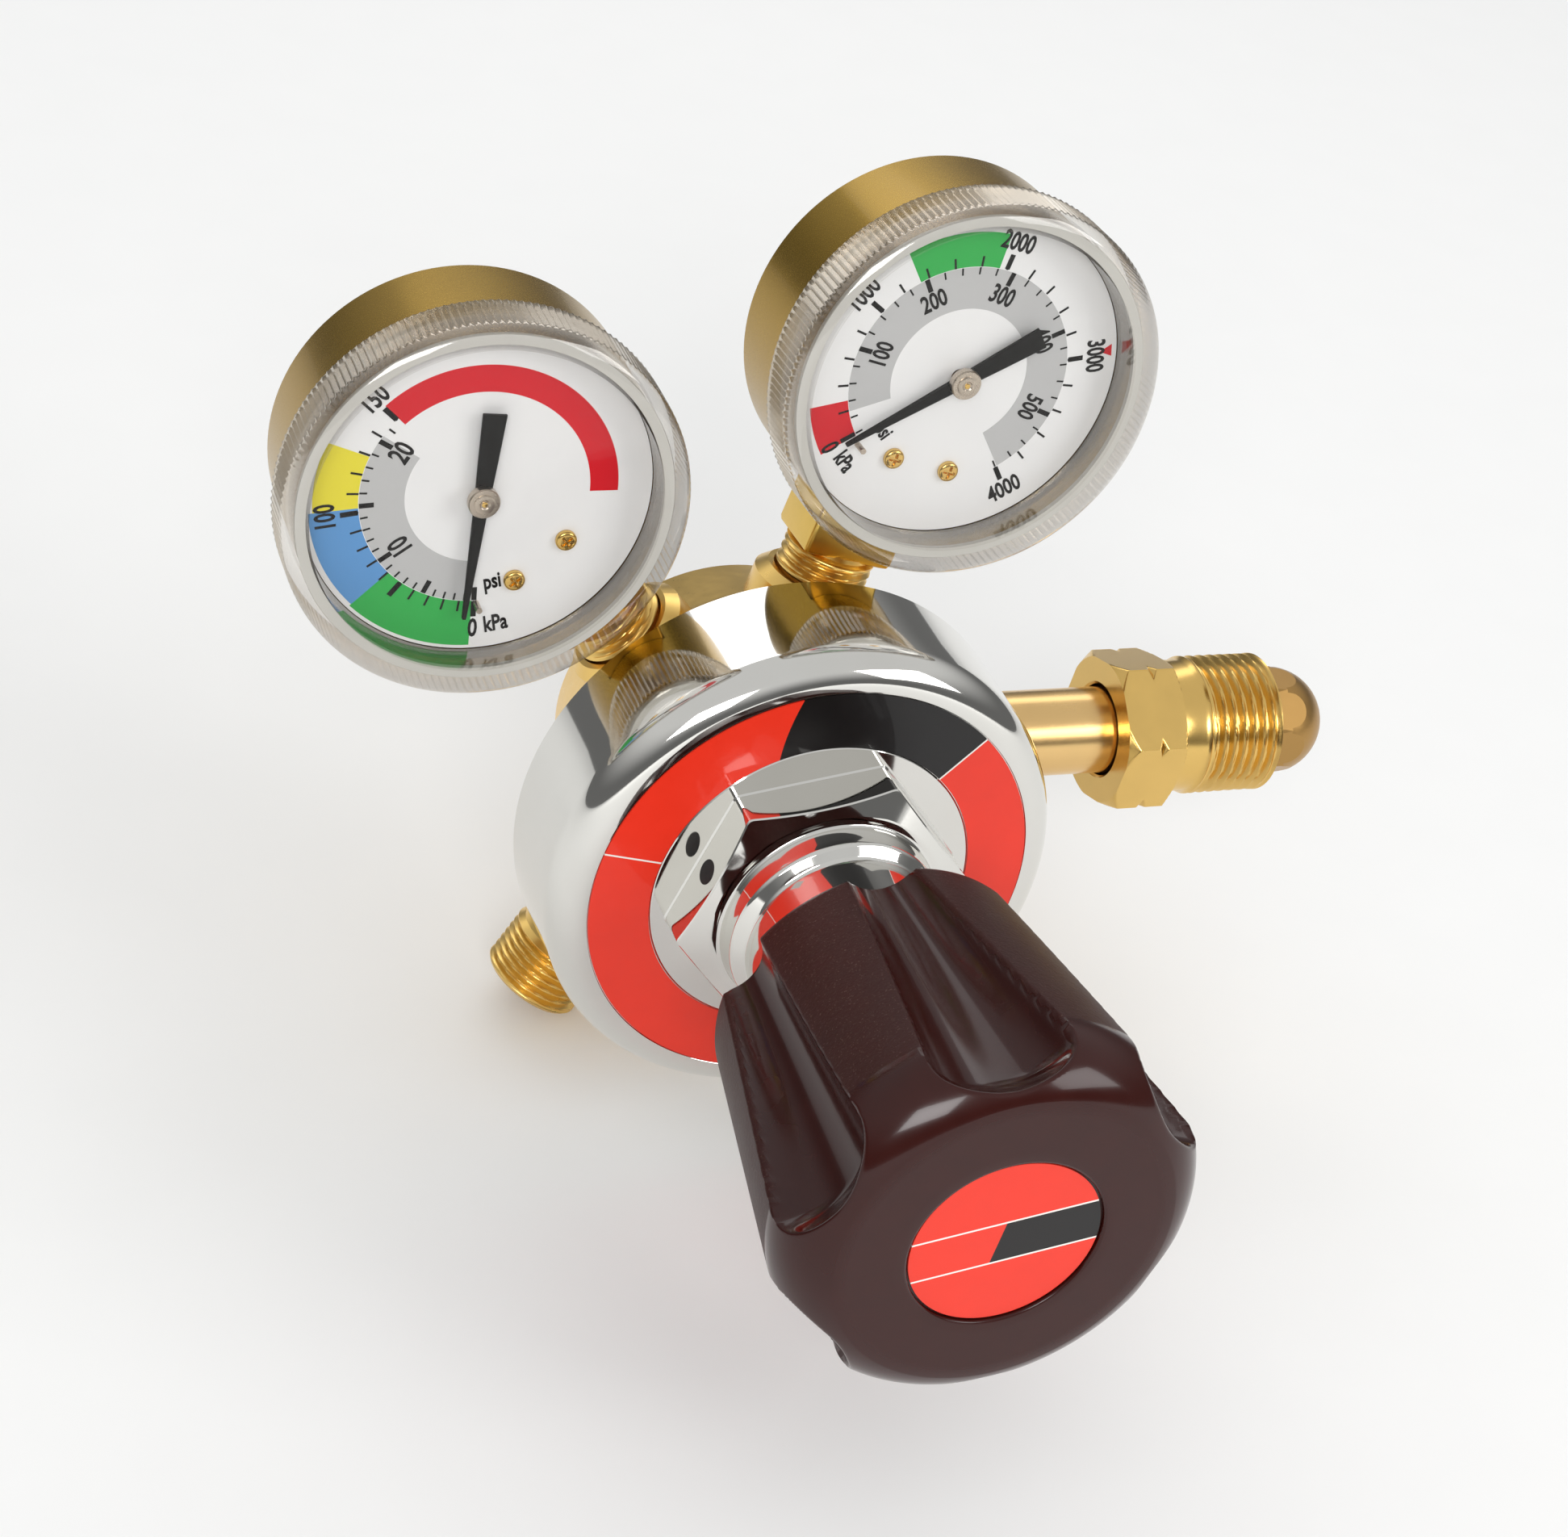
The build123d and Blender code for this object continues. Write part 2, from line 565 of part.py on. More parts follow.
def movement_frame():
    plates = block((-7, 7), (-7.2, -6.3), (-17.2, 4)) + block((-7, 7), (-11.6, -10.8), (-17.2, 4))
    for side in (-1, 1):
        pillar = Pos(side * dial_screw_spacing / 2, 0, dial_screw_z) * rod(1.3, 0, 6.6, forward_frame(-6.4))
        plates += pillar
        plates -= Pos(side * dial_screw_spacing / 2, 0, dial_screw_z) * rod(dial_screw_radius + 0.05, 0, 9,
                                                                            forward_frame(-8))
    plates -= rod(0.45, 0, 12, forward_frame(-5))
    plates -= Pos(0, 0, sector_pivot_z) * rod(0.55, 0, 12, forward_frame(-5))
    return plates


def tooth(radius, angle, module):
    """A slim tooth on a pitch circle, with straight flanks and room for backlash."""
    foot = 1.25 * module
    tip = 0.85 * module
    half_foot = 0.72 * module
    half_tip = 0.30 * module
    points = [(radius - foot, -half_foot), (radius + tip, -half_tip), (radius + tip, half_tip),
              (radius - foot, half_foot)]
    return Rot(0, 0, angle) * make_face(Polyline(*points, close=True))


def pinion_arbor():
    radius = pinion_teeth * gear_module / 2
    wheel = Circle(radius - 1.15 * gear_module)
    for index in range(pinion_teeth):
        wheel += tooth(radius, 90 + (index + 0.5) * 360 / pinion_teeth, gear_module)
    shape = rod(0.4, 0, 9.9, forward_frame(-6.4))
    shape += forward_frame(-8.2) * extrude(wheel, amount=1.4)
    return shape


sector_rest_angle = 90 - 18.75      # the kept teeth's middle, anticlockwise from +X seen from the front
tail_rest_angle = -5.0
tail_length = 4.5


def sector_gear():
    radius = sector_teeth * gear_module / 2
    pitch = 360 / sector_teeth
    half_span = sector_kept_teeth * pitch / 2
    first = 90 - round((90 - sector_rest_angle) / pitch) * pitch
    rim = Circle(radius - 1.15 * gear_module) - Circle(radius - 1.6)
    ends = [polar(3 * radius, first + share * half_span) for share in (-1, 0, 1)]
    rim = rim & make_face(Polyline((0, 0), *ends, close=True))
    for index in range(sector_kept_teeth):
        rim += tooth(radius, first + (index - (sector_kept_teeth - 1) / 2) * pitch, gear_module)
    arm = Rot(0, 0, first) * Pos(radius / 2, 0) * Rectangle(radius - 1, 2)
    tail = Rot(0, 0, tail_rest_angle) * Pos(tail_length / 2, 0) * Rectangle(tail_length, 1.8)
    tail_end = Pos(*polar(tail_length, tail_rest_angle)) * Circle(0.9)
    plate = extrude(rim + arm + tail + tail_end + Circle(1.5), amount=1.0)
    shape = forward_frame(-8.4) * plate + rod(0.5, 0, 5.1, forward_frame(-6.4))
    pin = Pos(*polar(tail_length, tail_rest_angle), 0) * rod(0.4, -0.9, 0.2)
    return Pos(0, 0, sector_pivot_z) * (shape + forward_frame(-8.4) * pin)


link_start = (polar(tail_length, tail_rest_angle)[0], polar(tail_length, tail_rest_angle)[1] + sector_pivot_z)
link_end = (16.6, -1.2)


def tube_link():
    across = link_end[0] - link_start[0]
    up = link_end[1] - link_start[1]
    length = sqrt(across ** 2 + up ** 2)
    angle = degrees(acos(across / length))
    bar = Rot(0, 0, angle) * Pos(length / 2, 0) * Rectangle(length, 1.0)
    bar += Circle(0.9) + Pos(across, up) * Circle(0.9)
    bar -= Circle(0.45)
    bar -= Pos(across, up) * Circle(0.45)
    return forward_frame(-7.6) * Pos(link_start[0], link_start[1], 0) * extrude(bar, amount=0.5)


def hairspring():
    """Three flat turns in steps of half circles, wound about the pinion's arbor."""
    width = 0.25
    gap = 0.45
    strip = None
    centre = 0.0
    radius = 1.2
    for half_turn in range(6):
        side = Circle(radius + width / 2) - Circle(radius - width / 2)
        keep = Pos(0, 20 if half_turn % 2 == 0 else -20) * Rectangle(40, 40)
        half = Pos(centre, 0) * (side & keep)
        strip = half if strip is None else strip + half
        centre += gap / 2 if half_turn % 2 == 0 else -gap / 2
        radius += gap / 2
    return forward_frame(-9.7) * extrude(strip, amount=0.6)


def pointer():
    """Long tapered blade with a square-ended tail, and a stepped hub on the arbor."""
    blade = Polyline((-1.7, -pointer_tail), (1.7, -pointer_tail), (1.1, 0), (0.3, pointer_tip),
                     (-0.3, pointer_tip), (-1.1, 0), close=True)
    shape = forward_frame(pointer_front_y + pointer_thickness) * Rot(0, 0, -zero_angle) * extrude(
        make_face(blade), amount=pointer_thickness)
    shape += turned([(0.0, 0.7), (1.7, 0.7), (hub_radius, 1.0), (hub_radius, 2.6), (2.0, 2.9), (0, 2.9)],
                    forward_frame(-14.0))
    return shape - rod(0.42, 0, 2.25, forward_frame(-14.2))


def dial_plate():
    plate = rod(dial_radius, 0, dial_thickness, forward_frame(dial_front_y + dial_thickness))
    plate -= rod(1.2, -1, 2, forward_frame(dial_front_y + dial_thickness))
    hole = rod(dial_screw_radius + 0.1, -1, 2, forward_frame(dial_front_y))
    for side in (-1, 1):
        plate -= Pos(side * dial_screw_spacing / 2, 0, dial_screw_z) * hole
    return plate


def dial_screws():
    screws = []
    for side in (-1, 1):
        screw = turned([(0, -4.6), (dial_screw_radius, -4.6), (dial_screw_radius, 0), (1.55, 0), (1.55, 0.7),
                        (1.2, 1.0), (0, 1.0)],
                       Pos(side * dial_screw_spacing / 2, 0, dial_screw_z) * forward_frame(dial_front_y))
        screws.append(screw)
    return Compound(children=screws)


def stop_pin():
    across, up = polar(17.6, 90 - zero_angle + 6)
    return Pos(across, 0, up) * rod(0.45, 0, 2.4, forward_frame(dial_front_y))


def lens():
    dome = 0.9
    front = -lens_skirt_front_y
    sphere = (window_radius ** 2 + dome ** 2) / (2 * dome)
    half_way = (window_radius / 2, front + 1.6 + dome - sphere + sqrt(sphere ** 2 - window_radius ** 2 / 4))
    back = -lens_skirt_back_y
    skirt = Polyline((lens_bore_radius, back), (lens_radius, back), (lens_radius, front),
                     (lens_radius - 1.2, front + 1.2), (window_radius, front + 1.6))
    window = ThreePointArc((window_radius, front + 1.6), half_way, (0, front + 1.6 + dome))
    inside = Polyline((0, front + 1.6 + dome), (0, front + dome), (window_radius, front),
                      (window_radius, gasket_front), (lens_bore_radius, gasket_front),
                      (lens_bore_radius, back))
    return forward_frame(0) * revolve(
        Plane.XZ * make_face([*skirt.edges(), *window.edges(), *inside.edges()]), axis=Axis.Z)


def lens_gasket():
    outer = lens_bore_radius - 0.1
    return turned([(25.4, -case_front_y), (outer, -case_front_y), (outer, gasket_front), (25.4, gasket_front)],
                  forward_frame(0))


gauge_pieces = {
    "case": gauge_case(), "socket": socket_block(), "bourdon_tube": bourdon_tube(),
    "movement_frame": movement_frame(), "pinion_arbor": pinion_arbor(), "sector_gear": sector_gear(),
    "tube_link": tube_link(), "hairspring": hairspring(), "dial": dial_plate(), "dial_screws": dial_screws(),
    "pointer": pointer(), "stop_pin": stop_pin(), "lens": lens(), "lens_gasket": lens_gasket(),
}
for prefix, place in (("contents", contents_gauge), ("working", working_gauge)):
    for name, piece in gauge_pieces.items():
        nodes[f"{prefix}_{name}"] = place * piece

# ---- files ----
os.makedirs("parts", exist_ok=True)
for name, shape in nodes.items():
    export_step(shape, f"parts/{name}.step")
print(len(nodes), "nodes")
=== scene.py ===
import json
import math
import bpy
import numpy as np
from mathutils import Matrix, Vector


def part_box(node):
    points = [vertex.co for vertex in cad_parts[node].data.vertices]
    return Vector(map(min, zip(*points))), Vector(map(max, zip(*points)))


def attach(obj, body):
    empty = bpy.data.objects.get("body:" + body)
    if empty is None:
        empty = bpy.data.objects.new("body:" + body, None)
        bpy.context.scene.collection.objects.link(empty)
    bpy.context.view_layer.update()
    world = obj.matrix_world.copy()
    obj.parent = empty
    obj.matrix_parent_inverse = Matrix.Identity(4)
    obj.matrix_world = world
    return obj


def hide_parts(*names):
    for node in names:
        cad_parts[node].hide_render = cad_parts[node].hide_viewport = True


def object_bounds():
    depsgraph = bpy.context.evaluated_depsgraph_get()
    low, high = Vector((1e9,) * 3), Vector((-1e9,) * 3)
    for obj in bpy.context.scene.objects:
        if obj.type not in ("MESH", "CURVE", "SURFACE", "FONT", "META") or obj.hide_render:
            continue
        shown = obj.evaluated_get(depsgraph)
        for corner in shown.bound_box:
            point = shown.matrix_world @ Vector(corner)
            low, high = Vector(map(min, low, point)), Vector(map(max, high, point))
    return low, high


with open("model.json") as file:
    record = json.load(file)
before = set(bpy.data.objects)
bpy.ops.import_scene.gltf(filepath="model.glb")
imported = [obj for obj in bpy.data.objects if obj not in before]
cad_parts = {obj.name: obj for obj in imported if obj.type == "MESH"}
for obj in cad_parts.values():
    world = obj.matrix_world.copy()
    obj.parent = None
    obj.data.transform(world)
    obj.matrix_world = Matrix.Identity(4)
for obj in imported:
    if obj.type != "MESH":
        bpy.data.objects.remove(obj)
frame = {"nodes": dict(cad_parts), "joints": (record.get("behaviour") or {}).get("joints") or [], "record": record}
cadBounds = [list(corner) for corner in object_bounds()]
joints = {joint["name"]: joint for joint in frame["joints"]}
mounts = {mount["name"]: mount for mount in frame["record"]["mounts"]}
mm = 0.001
print("frame loaded,", len(frame["nodes"]), "nodes")


# A place is an origin in metres and three axes. Shapes are worked out in a place's own millimetres.
class Place:
    def __init__(self, origin, across, ahead):
        ahead = np.array(ahead, float) / np.linalg.norm(ahead)
        across = np.array(across, float) - ahead * np.dot(across, ahead)
        across = across / np.linalg.norm(across)
        self.origin = np.array(origin, float)
        self.axes = np.stack([across, np.cross(ahead, across), ahead])

    def out(self, points):            # own millimetres to the frame's metres
        return self.origin + mm * (np.asarray(points, float) @ self.axes)

    def into(self, points):           # the frame's metres to own millimetres
        return (np.asarray(points, float) - self.origin) @ self.axes.T / mm

    def shifted(self, across, up, ahead):
        return Place(self.out([across, up, ahead]), self.axes[0], self.axes[2])


def nodePoints(node):
    points = np.zeros(len(frame["nodes"][node].data.vertices) * 3)
    frame["nodes"][node].data.vertices.foreach_get("co", points)
    return points.reshape(-1, 3)


def measure(node, place):             # a node about a place's axis: widest radius, nearest and furthest ahead
    points = place.into(nodePoints(node))
    return np.hypot(points[:, 0], points[:, 1]).max(), points[:, 2].min(), points[:, 2].max()


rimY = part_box("bonnet")[1].y
knobAxis = Vector(joints["knob_turn"]["pos_m"])
knobPlace = Place((knobAxis.x, rimY, knobAxis.z), (1, 0, 0), (0, -1, 0))
inletPlace = Place((0, 0, 0), (0, 1, 0), (1, 0, 0))

outletAxis = Vector(mounts["outlet_thread"]["axis"])
outletReach = (mounts["outlet_thread"]["pos_m"][0] - knobAxis.x) / outletAxis.x
outletOrigin = Vector(mounts["outlet_thread"]["pos_m"]) - outletAxis * outletReach
outletPlace = Place(outletOrigin, Vector((0, 1, 0)).cross(outletAxis), outletAxis)


# The dial's place looks ahead out of the glass, and the stem's place looks up the stem.
def gaugePlaces(prefix):
    pivot = Vector(joints[prefix + "_pointer_turn"]["pos_m"])
    back = Vector(joints[prefix + "_pointer_turn"]["axis"]).normalized()
    gap = pivot - Vector(joints[prefix + "_sector_turn"]["pos_m"])
    up = (gap - back * gap.dot(back)).normalized()
    side = back.cross(up)
    return Place(pivot, side, -back), Place(pivot, side, up)


# A skin is a grid of points: each row is a loop round the shape, and the rows follow one another along it.
def skinFaces(grid, ring, caps):
    rows, columns = grid.shape[:2]
    index = np.arange(rows * columns).reshape(rows, columns)
    for row in (0, rows - 1):
        if np.ptp(grid[row], axis=0).max() < 1e-7:        # a pole: the whole row is one point
            index[row] = index[row, 0]
    upper = index if ring else index[:-1]
    lower = np.roll(index, -1, axis=0) if ring else index[1:]
    quads = np.stack([upper, lower, np.roll(lower, -1, axis=1), np.roll(upper, -1, axis=1)], -1).reshape(-1, 4)
    top = quads[:, 0] == quads[:, 3]
    foot = quads[:, 1] == quads[:, 2]
    faces = quads[~(top | foot)].tolist() + quads[top & ~foot][:, [0, 1, 2]].tolist()
    faces += quads[foot & ~top][:, [0, 1, 3]].tolist()
    if caps:
        faces += [index[0].tolist(), index[-1][::-1].tolist()]
    return faces


def volume(points, faces):            # sixfold volume by the divergence theorem, each face as a fan
    total = 0.0
    for count in {len(face) for face in faces}:
        same = np.array([face for face in faces if len(face) == count], int)
        for corner in range(1, count - 1):
            a, b, c = points[same[:, 0]], points[same[:, corner]], points[same[:, corner + 1]]
            total += np.einsum("ij,ij->i", a, np.cross(b, c)).sum()
    return total


def makeMesh(name, points, faces, place, material, body, smooth=32, replaces=(), slot=None, marks=None):
    used = np.unique([corner for face in faces for corner in face])    # without the poles' spare points
    order = np.zeros(len(points), int)
    order[used] = np.arange(len(used))
    faces = [order[face].tolist() for face in faces]
    points = place.out(np.asarray(points, float)[used])
    if volume(points - points.mean(axis=0), faces) < 0:
        faces = [face[::-1] for face in faces]
    mesh = bpy.data.meshes.new(name)
    mesh.from_pydata(points.tolist(), [], faces)
    for mark, values in (marks or {}).items():            # one number for each point, which a finish can read
        layer = mesh.attributes.new(mark, "FLOAT", "POINT")
        layer.data.foreach_set("value", np.asarray(values, float).reshape(-1)[used])
    if smooth:
        mesh.shade_smooth()
        mesh.set_sharp_from_angle(angle=math.radians(smooth))
    mesh.materials.append(material)
    piece = bpy.data.objects.new(name, mesh)
    bpy.context.scene.collection.objects.link(piece)
    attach(piece, body)
    if replaces:
        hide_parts(*replaces)
    return piece


def skin(name, grid, place, material, body, ring=False, caps=False, **more):
    grid = np.asarray(grid, float)
    return makeMesh(name, grid.reshape(-1, 3), skinFaces(grid, ring, caps), place, material, body, **more)


# Turned shape: point = (radius cos turn, radius sin turn, ahead). Radius and ahead may change with the turn.
def turned(radius, ahead, steps=128):
    turn = np.linspace(0, 2 * np.pi, steps, endpoint=False)
    radius = np.asarray(radius, float)
    ahead = np.asarray(ahead, float)
    radius = radius[:, None] if radius.ndim == 1 else radius
    ahead = ahead[:, None] if ahead.ndim == 1 else ahead
    return np.stack(np.broadcast_arrays(radius * np.cos(turn), radius * np.sin(turn), ahead), -1)


# Turned shape from rows of radius and ahead, each of them one number or a value for every step round.
def turnedRows(rows, steps):
    return turned(*(np.array([np.broadcast_to(row[part], steps) for row in rows]) for part in (0, 1)), steps)


def lathe(name, outline, place, material, body, steps=128, **more):
    outline = np.array(outline, float)
    return skin(name, turned(outline[:, 0], outline[:, 1], steps), place, material, body, **more)


# Rounded corner: point = (1-t)^2 start + 2t(1-t) corner + t^2 end, t from 0 to 1.
def roundCorners(outline, radius, steps=4, closed=True):
    outline = [np.array(corner, float) for corner in outline]
    made = []
    for number, corner in enumerate(outline):
        if not closed and number in (0, len(outline) - 1):
            made.append(corner)
            continue
        before = outline[number - 1] - corner
        after = outline[(number + 1) % len(outline)] - corner
        reach = min(radius, 0.45 * np.linalg.norm(before), 0.45 * np.linalg.norm(after))
        start = corner + before / np.linalg.norm(before) * reach
        end = corner + after / np.linalg.norm(after) * reach
        for share in np.linspace(0, 1, steps + 1):
            made.append((1 - share) ** 2 * start + 2 * share * (1 - share) * corner + share ** 2 * end)
    return np.array(made)


def smoothStep(values, low, high):    # 0 below low, 1 above high, 3t^2 - 2t^3 between them
    share = np.clip((np.asarray(values, float) - low) / (high - low), 0, 1)
    return share * share * (3 - 2 * share)


def softLower(first, second, width):  # the lower of two, with the corner rounded: a polynomial smooth minimum
    share = np.clip(0.5 + 0.5 * (second - first) / width, 0, 1)
    return second * (1 - share) + first * share - width * share * (1 - share)


# Helical thread: radius = crest - depth * groove, where groove = (1.25 - 2.5 |phase - 1/2|)^1.1, its bracket held
# between 0 and 1, and phase = (ahead - start) / pitch - turn / 2 pi, whole turns dropped. Both ends fade out.
def threaded(crest, depth, pitch, start, end, steps=160, rowsPerPitch=14, fade=0.5):
    ahead = np.linspace(start, end, int((end - start) / pitch * rowsPerPitch) + 1)[:, None]
    turn = np.linspace(0, 2 * np.pi, steps, endpoint=False)[None, :]
    phase = ((ahead - start) / pitch - turn / (2 * np.pi)) % 1
    groove = np.clip(1.25 - 2.5 * np.abs(phase - 0.5), 0, 1) ** 1.1
    ends = np.clip(np.minimum(ahead - start, end - ahead) / (fade * pitch), 0, 1)
    return crest - depth * groove * ends, np.broadcast_to(ahead, groove.shape)


class Wire:                           # one output socket, which Python's operators combine
    def __init__(self, finish, socket):
        self.finish, self.socket = finish, socket

    def math(self, operation, *others, first=None):
        inputs = [self, *others] if first is None else [first, self]
        return self.finish.node("ShaderNodeMath", {"operation": operation}, inputs)

    def __add__(self, other):
        return self.math("ADD", other)

    def __radd__(self, other):
        return self.math("ADD", first=other)

    def __sub__(self, other):
        return self.math("SUBTRACT", other)

    def __rsub__(self, other):
        return self.math("SUBTRACT", first=other)

    def __mul__(self, other):
        return self.math("MULTIPLY", other)

    def __rmul__(self, other):
        return self.math("MULTIPLY", first=other)

    def __pow__(self, other):
        return self.math("POWER", other)

    def over(self, edge):
        return self.math("GREATER_THAN", edge)

    def under(self, edge):
        return self.math("LESS_THAN", edge)

    def capped(self):
        return self.finish.node("ShaderNodeClamp", {}, [self])


class Finish:                         # one material: a Principled shader and the nodes that feed it
    def __init__(self, name, **fixed):
        self.material = bpy.data.materials.new(name)
        self.material.use_nodes = True
        self.tree = self.material.node_tree
        self.shader = self.tree.nodes["Principled BSDF"]
        for socket, value in fixed.items():
            self.shader.inputs[socket.replace("_", " ")].default_value = value
        self.coords = self.node("ShaderNodeTexCoord", {}, [], output="Object")

    def node(self, kind, settings, inputs, output=0):
        made = self.tree.nodes.new(kind)
        for key, value in settings.items():
            setattr(made, key, value)
        pairs = inputs.items() if isinstance(inputs, dict) else enumerate(inputs)
        for key, value in pairs:
            if isinstance(value, Wire):
                self.tree.links.new(value.socket, made.inputs[key])
            elif value is not None:
                made.inputs[key].default_value = value
        return Wire(self, made.outputs[output])

    def noise(self, scale, detail=3, roughness=0.5, stretch=None):
        where = self.coords
        if stretch:
            where = self.node("ShaderNodeMapping", {}, {"Vector": where, "Scale": stretch})
        return self.node("ShaderNodeTexNoise", {}, {"Vector": where, "Scale": scale, "Detail": detail,
                                                     "Roughness": roughness})

    def parts(self, centre):          # x, y and z in millimetres from a point of the frame
        moved = self.node("ShaderNodeVectorMath", {"operation": "SUBTRACT"}, [self.coords, tuple(centre)])
        scaled = self.node("ShaderNodeVectorMath", {"operation": "SCALE"}, {0: moved, 3: 1 / mm})
        split = self.node("ShaderNodeSeparateXYZ", {}, [scaled])
        return [Wire(self, output) for output in split.socket.node.outputs]

    def mark(self, name):
        return self.node("ShaderNodeAttribute", {"attribute_name": name}, [], output="Fac")

    def mix(self, factor, first, second):
        settings = {"data_type": "RGBA", "clamp_factor": True}
        return self.node("ShaderNodeMix", settings, {0: factor, 6: first, 7: second}, output=2)

    def feed(self, socket, wire):
        self.tree.links.new(wire.socket, self.shader.inputs[socket])

    def bump(self, height, strength, depth):
        settings = {"Strength": strength, "Distance": depth * mm, "Height": height}
        self.feed("Normal", self.node("ShaderNodeBump", {}, settings))


def rgb(red, green, blue):            # a colour as a screen shows it, 0 to 255, turned linear for the shader
    shares = np.array([red, green, blue]) / 255
    linear = np.where(shares <= 0.04045, shares / 12.92, ((shares + 0.055) / 1.055) ** 2.4)
    return tuple(linear.tolist()) + (1.0,)


def shade(colour, factor):
    return tuple(min(1.0, part * factor) for part in colour[:3]) + (1.0,)


def metal(name, colour, rough, wear=0.10, grain=900, marks=0.15, stretch=None, depth=0.02):
    finish = Finish(name, Metallic=1.0)
    patches = finish.noise(90, 4, 0.6)
    fine = finish.noise(grain, 3, 0.6, stretch)
    dull, bright = shade(colour, 1 - wear), shade(colour, 1 + wear)
    finish.feed("Base Color", finish.mix(patches * 1.4 - 0.2, dull, bright))
    finish.feed("Roughness", (rough + (patches - 0.5) * 0.10 + (fine - 0.5) * 0.12).capped())
    finish.bump(fine, marks, depth)
    return finish.material


def plastic(name, colour, rough, marks=0.1, depth=0.01, vary=0.08, gloss=0.4):
    finish = Finish(name, Specular_IOR_Level=gloss)
    patches = finish.noise(60, 3)
    fine = finish.noise(1500, 2)
    finish.feed("Base Color", finish.mix(patches, shade(colour, 1 - vary), shade(colour, 1 + vary)))
    finish.feed("Roughness", (rough + (patches - 0.5) * 0.06).capped())
    finish.bump(fine, marks, depth)
    return finish.material


def chromeFinish():                   # mirror plating with a faint polish haze
    finish = Finish("chrome", Metallic=1.0)
    haze = finish.noise(45, 5, 0.6)
    wipes = finish.noise(700, 2, 0.5, (1.0, 0.15, 1.0))
    finish.feed("Base Color", finish.mix(haze, rgb(218, 216, 210), rgb(228, 227, 223)))
    finish.feed("Roughness", (0.035 + haze * 0.03 + wipes * 0.012).capped())
    finish.bump(finish.noise(220, 2), 0.03, 0.01)
    return finish.material


def casePaintFinish():                # gold paint over drawn steel: a metallic ground under a glossy coat
    finish = Finish("casePaint", Metallic=0.9, Coat_Weight=0.2, Coat_Roughness=0.08)
    clouds = finish.noise(70, 4, 0.55)
    flakes = finish.noise(6000, 2, 0.5)
    ground = finish.mix(clouds, rgb(156, 122, 34), rgb(170, 136, 44))
    finish.feed("Base Color", finish.mix((flakes - 0.45) * 1.5, ground, rgb(190, 154, 62)))
    finish.feed("Roughness", (0.26 + (flakes - 0.5) * 0.12 + (clouds - 0.5) * 0.08).capped())
    finish.bump(finish.noise(900, 2), 0.12, 0.01)
    return finish.material


def dialFinish():                     # matt printed white, a little darker in faint patches
    finish = Finish("dialWhite", Coat_Weight=0.15, Coat_Roughness=0.3)
    patches = finish.noise(120, 3)
    finish.feed("Base Color", finish.mix(patches, rgb(238, 239, 242), rgb(244, 245, 247)))
    finish.feed("Roughness", (0.5 + (patches - 0.5) * 0.08).capped())
    finish.bump(finish.noise(3000, 2), 0.05, 0.005)
    return finish.material


def knobFinish():                     # moulded maroon plastic: grained on the ridges, glossy in the flutes
    finish = Finish("knobPlastic", Coat_Roughness=0.05, Specular_IOR_Level=0.25)
    grain = finish.mark("grain")
    fine = finish.noise(1500, 3, 0.65)
    mould = finish.noise(220, 3, 0.5)
    flecks = finish.noise(3500, 2).over(0.66) * grain
    ground = finish.mix(mould, rgb(46, 12, 8), rgb(54, 16, 11))
    finish.feed("Base Color", finish.mix(flecks * 0.35, ground, rgb(120, 96, 88)))
    rough = 0.17 + grain * 0.27 + finish.mark("face") * 0.16 + (mould - 0.5) * 0.08
    finish.feed("Roughness", rough.capped())
    finish.feed("Coat Weight", (1 - grain) * 0.22)
    finish.bump(fine * grain * 0.85 + mould * 0.10, 0.75, 0.09)
    return finish.material


# Label film: red, with a black sector or stripe, thin white lines, and a clear glossy face. Angles are in
# degrees and lengths in millimetres; the ring's slant is in degrees for each millimetre out.
labelRed, labelBlack, labelWhite = rgb(234, 50, 28), rgb(16, 13, 13), rgb(238, 232, 226)
ringPrint = {"blackFrom": 46.8, "blackTo": 106.3, "slant": 1.0, "middle": 29.8, "lines": (46.8, 165.6),
             "lineWidth": 0.28}
discPrint = {"tilt": 10.0, "upper": 3.5, "lower": -3.3, "lineWidth": 0.3, "blackFrom": -1.0, "slant": 0.35}


def filmFinish(name):
    finish = Finish(name, Coat_Weight=0.3, Coat_Roughness=0.04, Specular_IOR_Level=0.3)
    x, _, z = finish.parts((knobAxis.x, 0, knobAxis.z))
    grime = finish.noise(160, 4, 0.6)
    finish.feed("Roughness", (0.3 + (grime - 0.5) * 0.1).capped())
    finish.bump(finish.noise(260, 3), 0.10, 0.02)
    return finish, x, z, finish.mix(grime, shade(labelRed, 0.94), shade(labelRed, 1.05))


def ringFinish():                     # bonnet's ring: angles run anticlockwise from +X
    finish, x, z, ground = filmFinish("labelRing")
    shape = ringPrint
    turn = z.math("ARCTAN2", x) * (180 / math.pi)
    radius = (x * x + z * z) ** 0.5
    leaning = turn + (radius - shape["middle"]) * shape["slant"]
    black = turn.over(shape["blackFrom"]) * leaning.under(shape["blackTo"])
    colour = finish.mix(black, ground, labelBlack)
    for angle in shape["lines"]:
        along = x * math.cos(math.radians(angle)) + z * math.sin(math.radians(angle))
        aside = (z * math.cos(math.radians(angle)) - x * math.sin(math.radians(angle))).math("ABSOLUTE")
        colour = finish.mix(aside.under(shape["lineWidth"] / 2) * along.over(0), colour, labelWhite)
    finish.feed("Base Color", colour)
    return finish.material


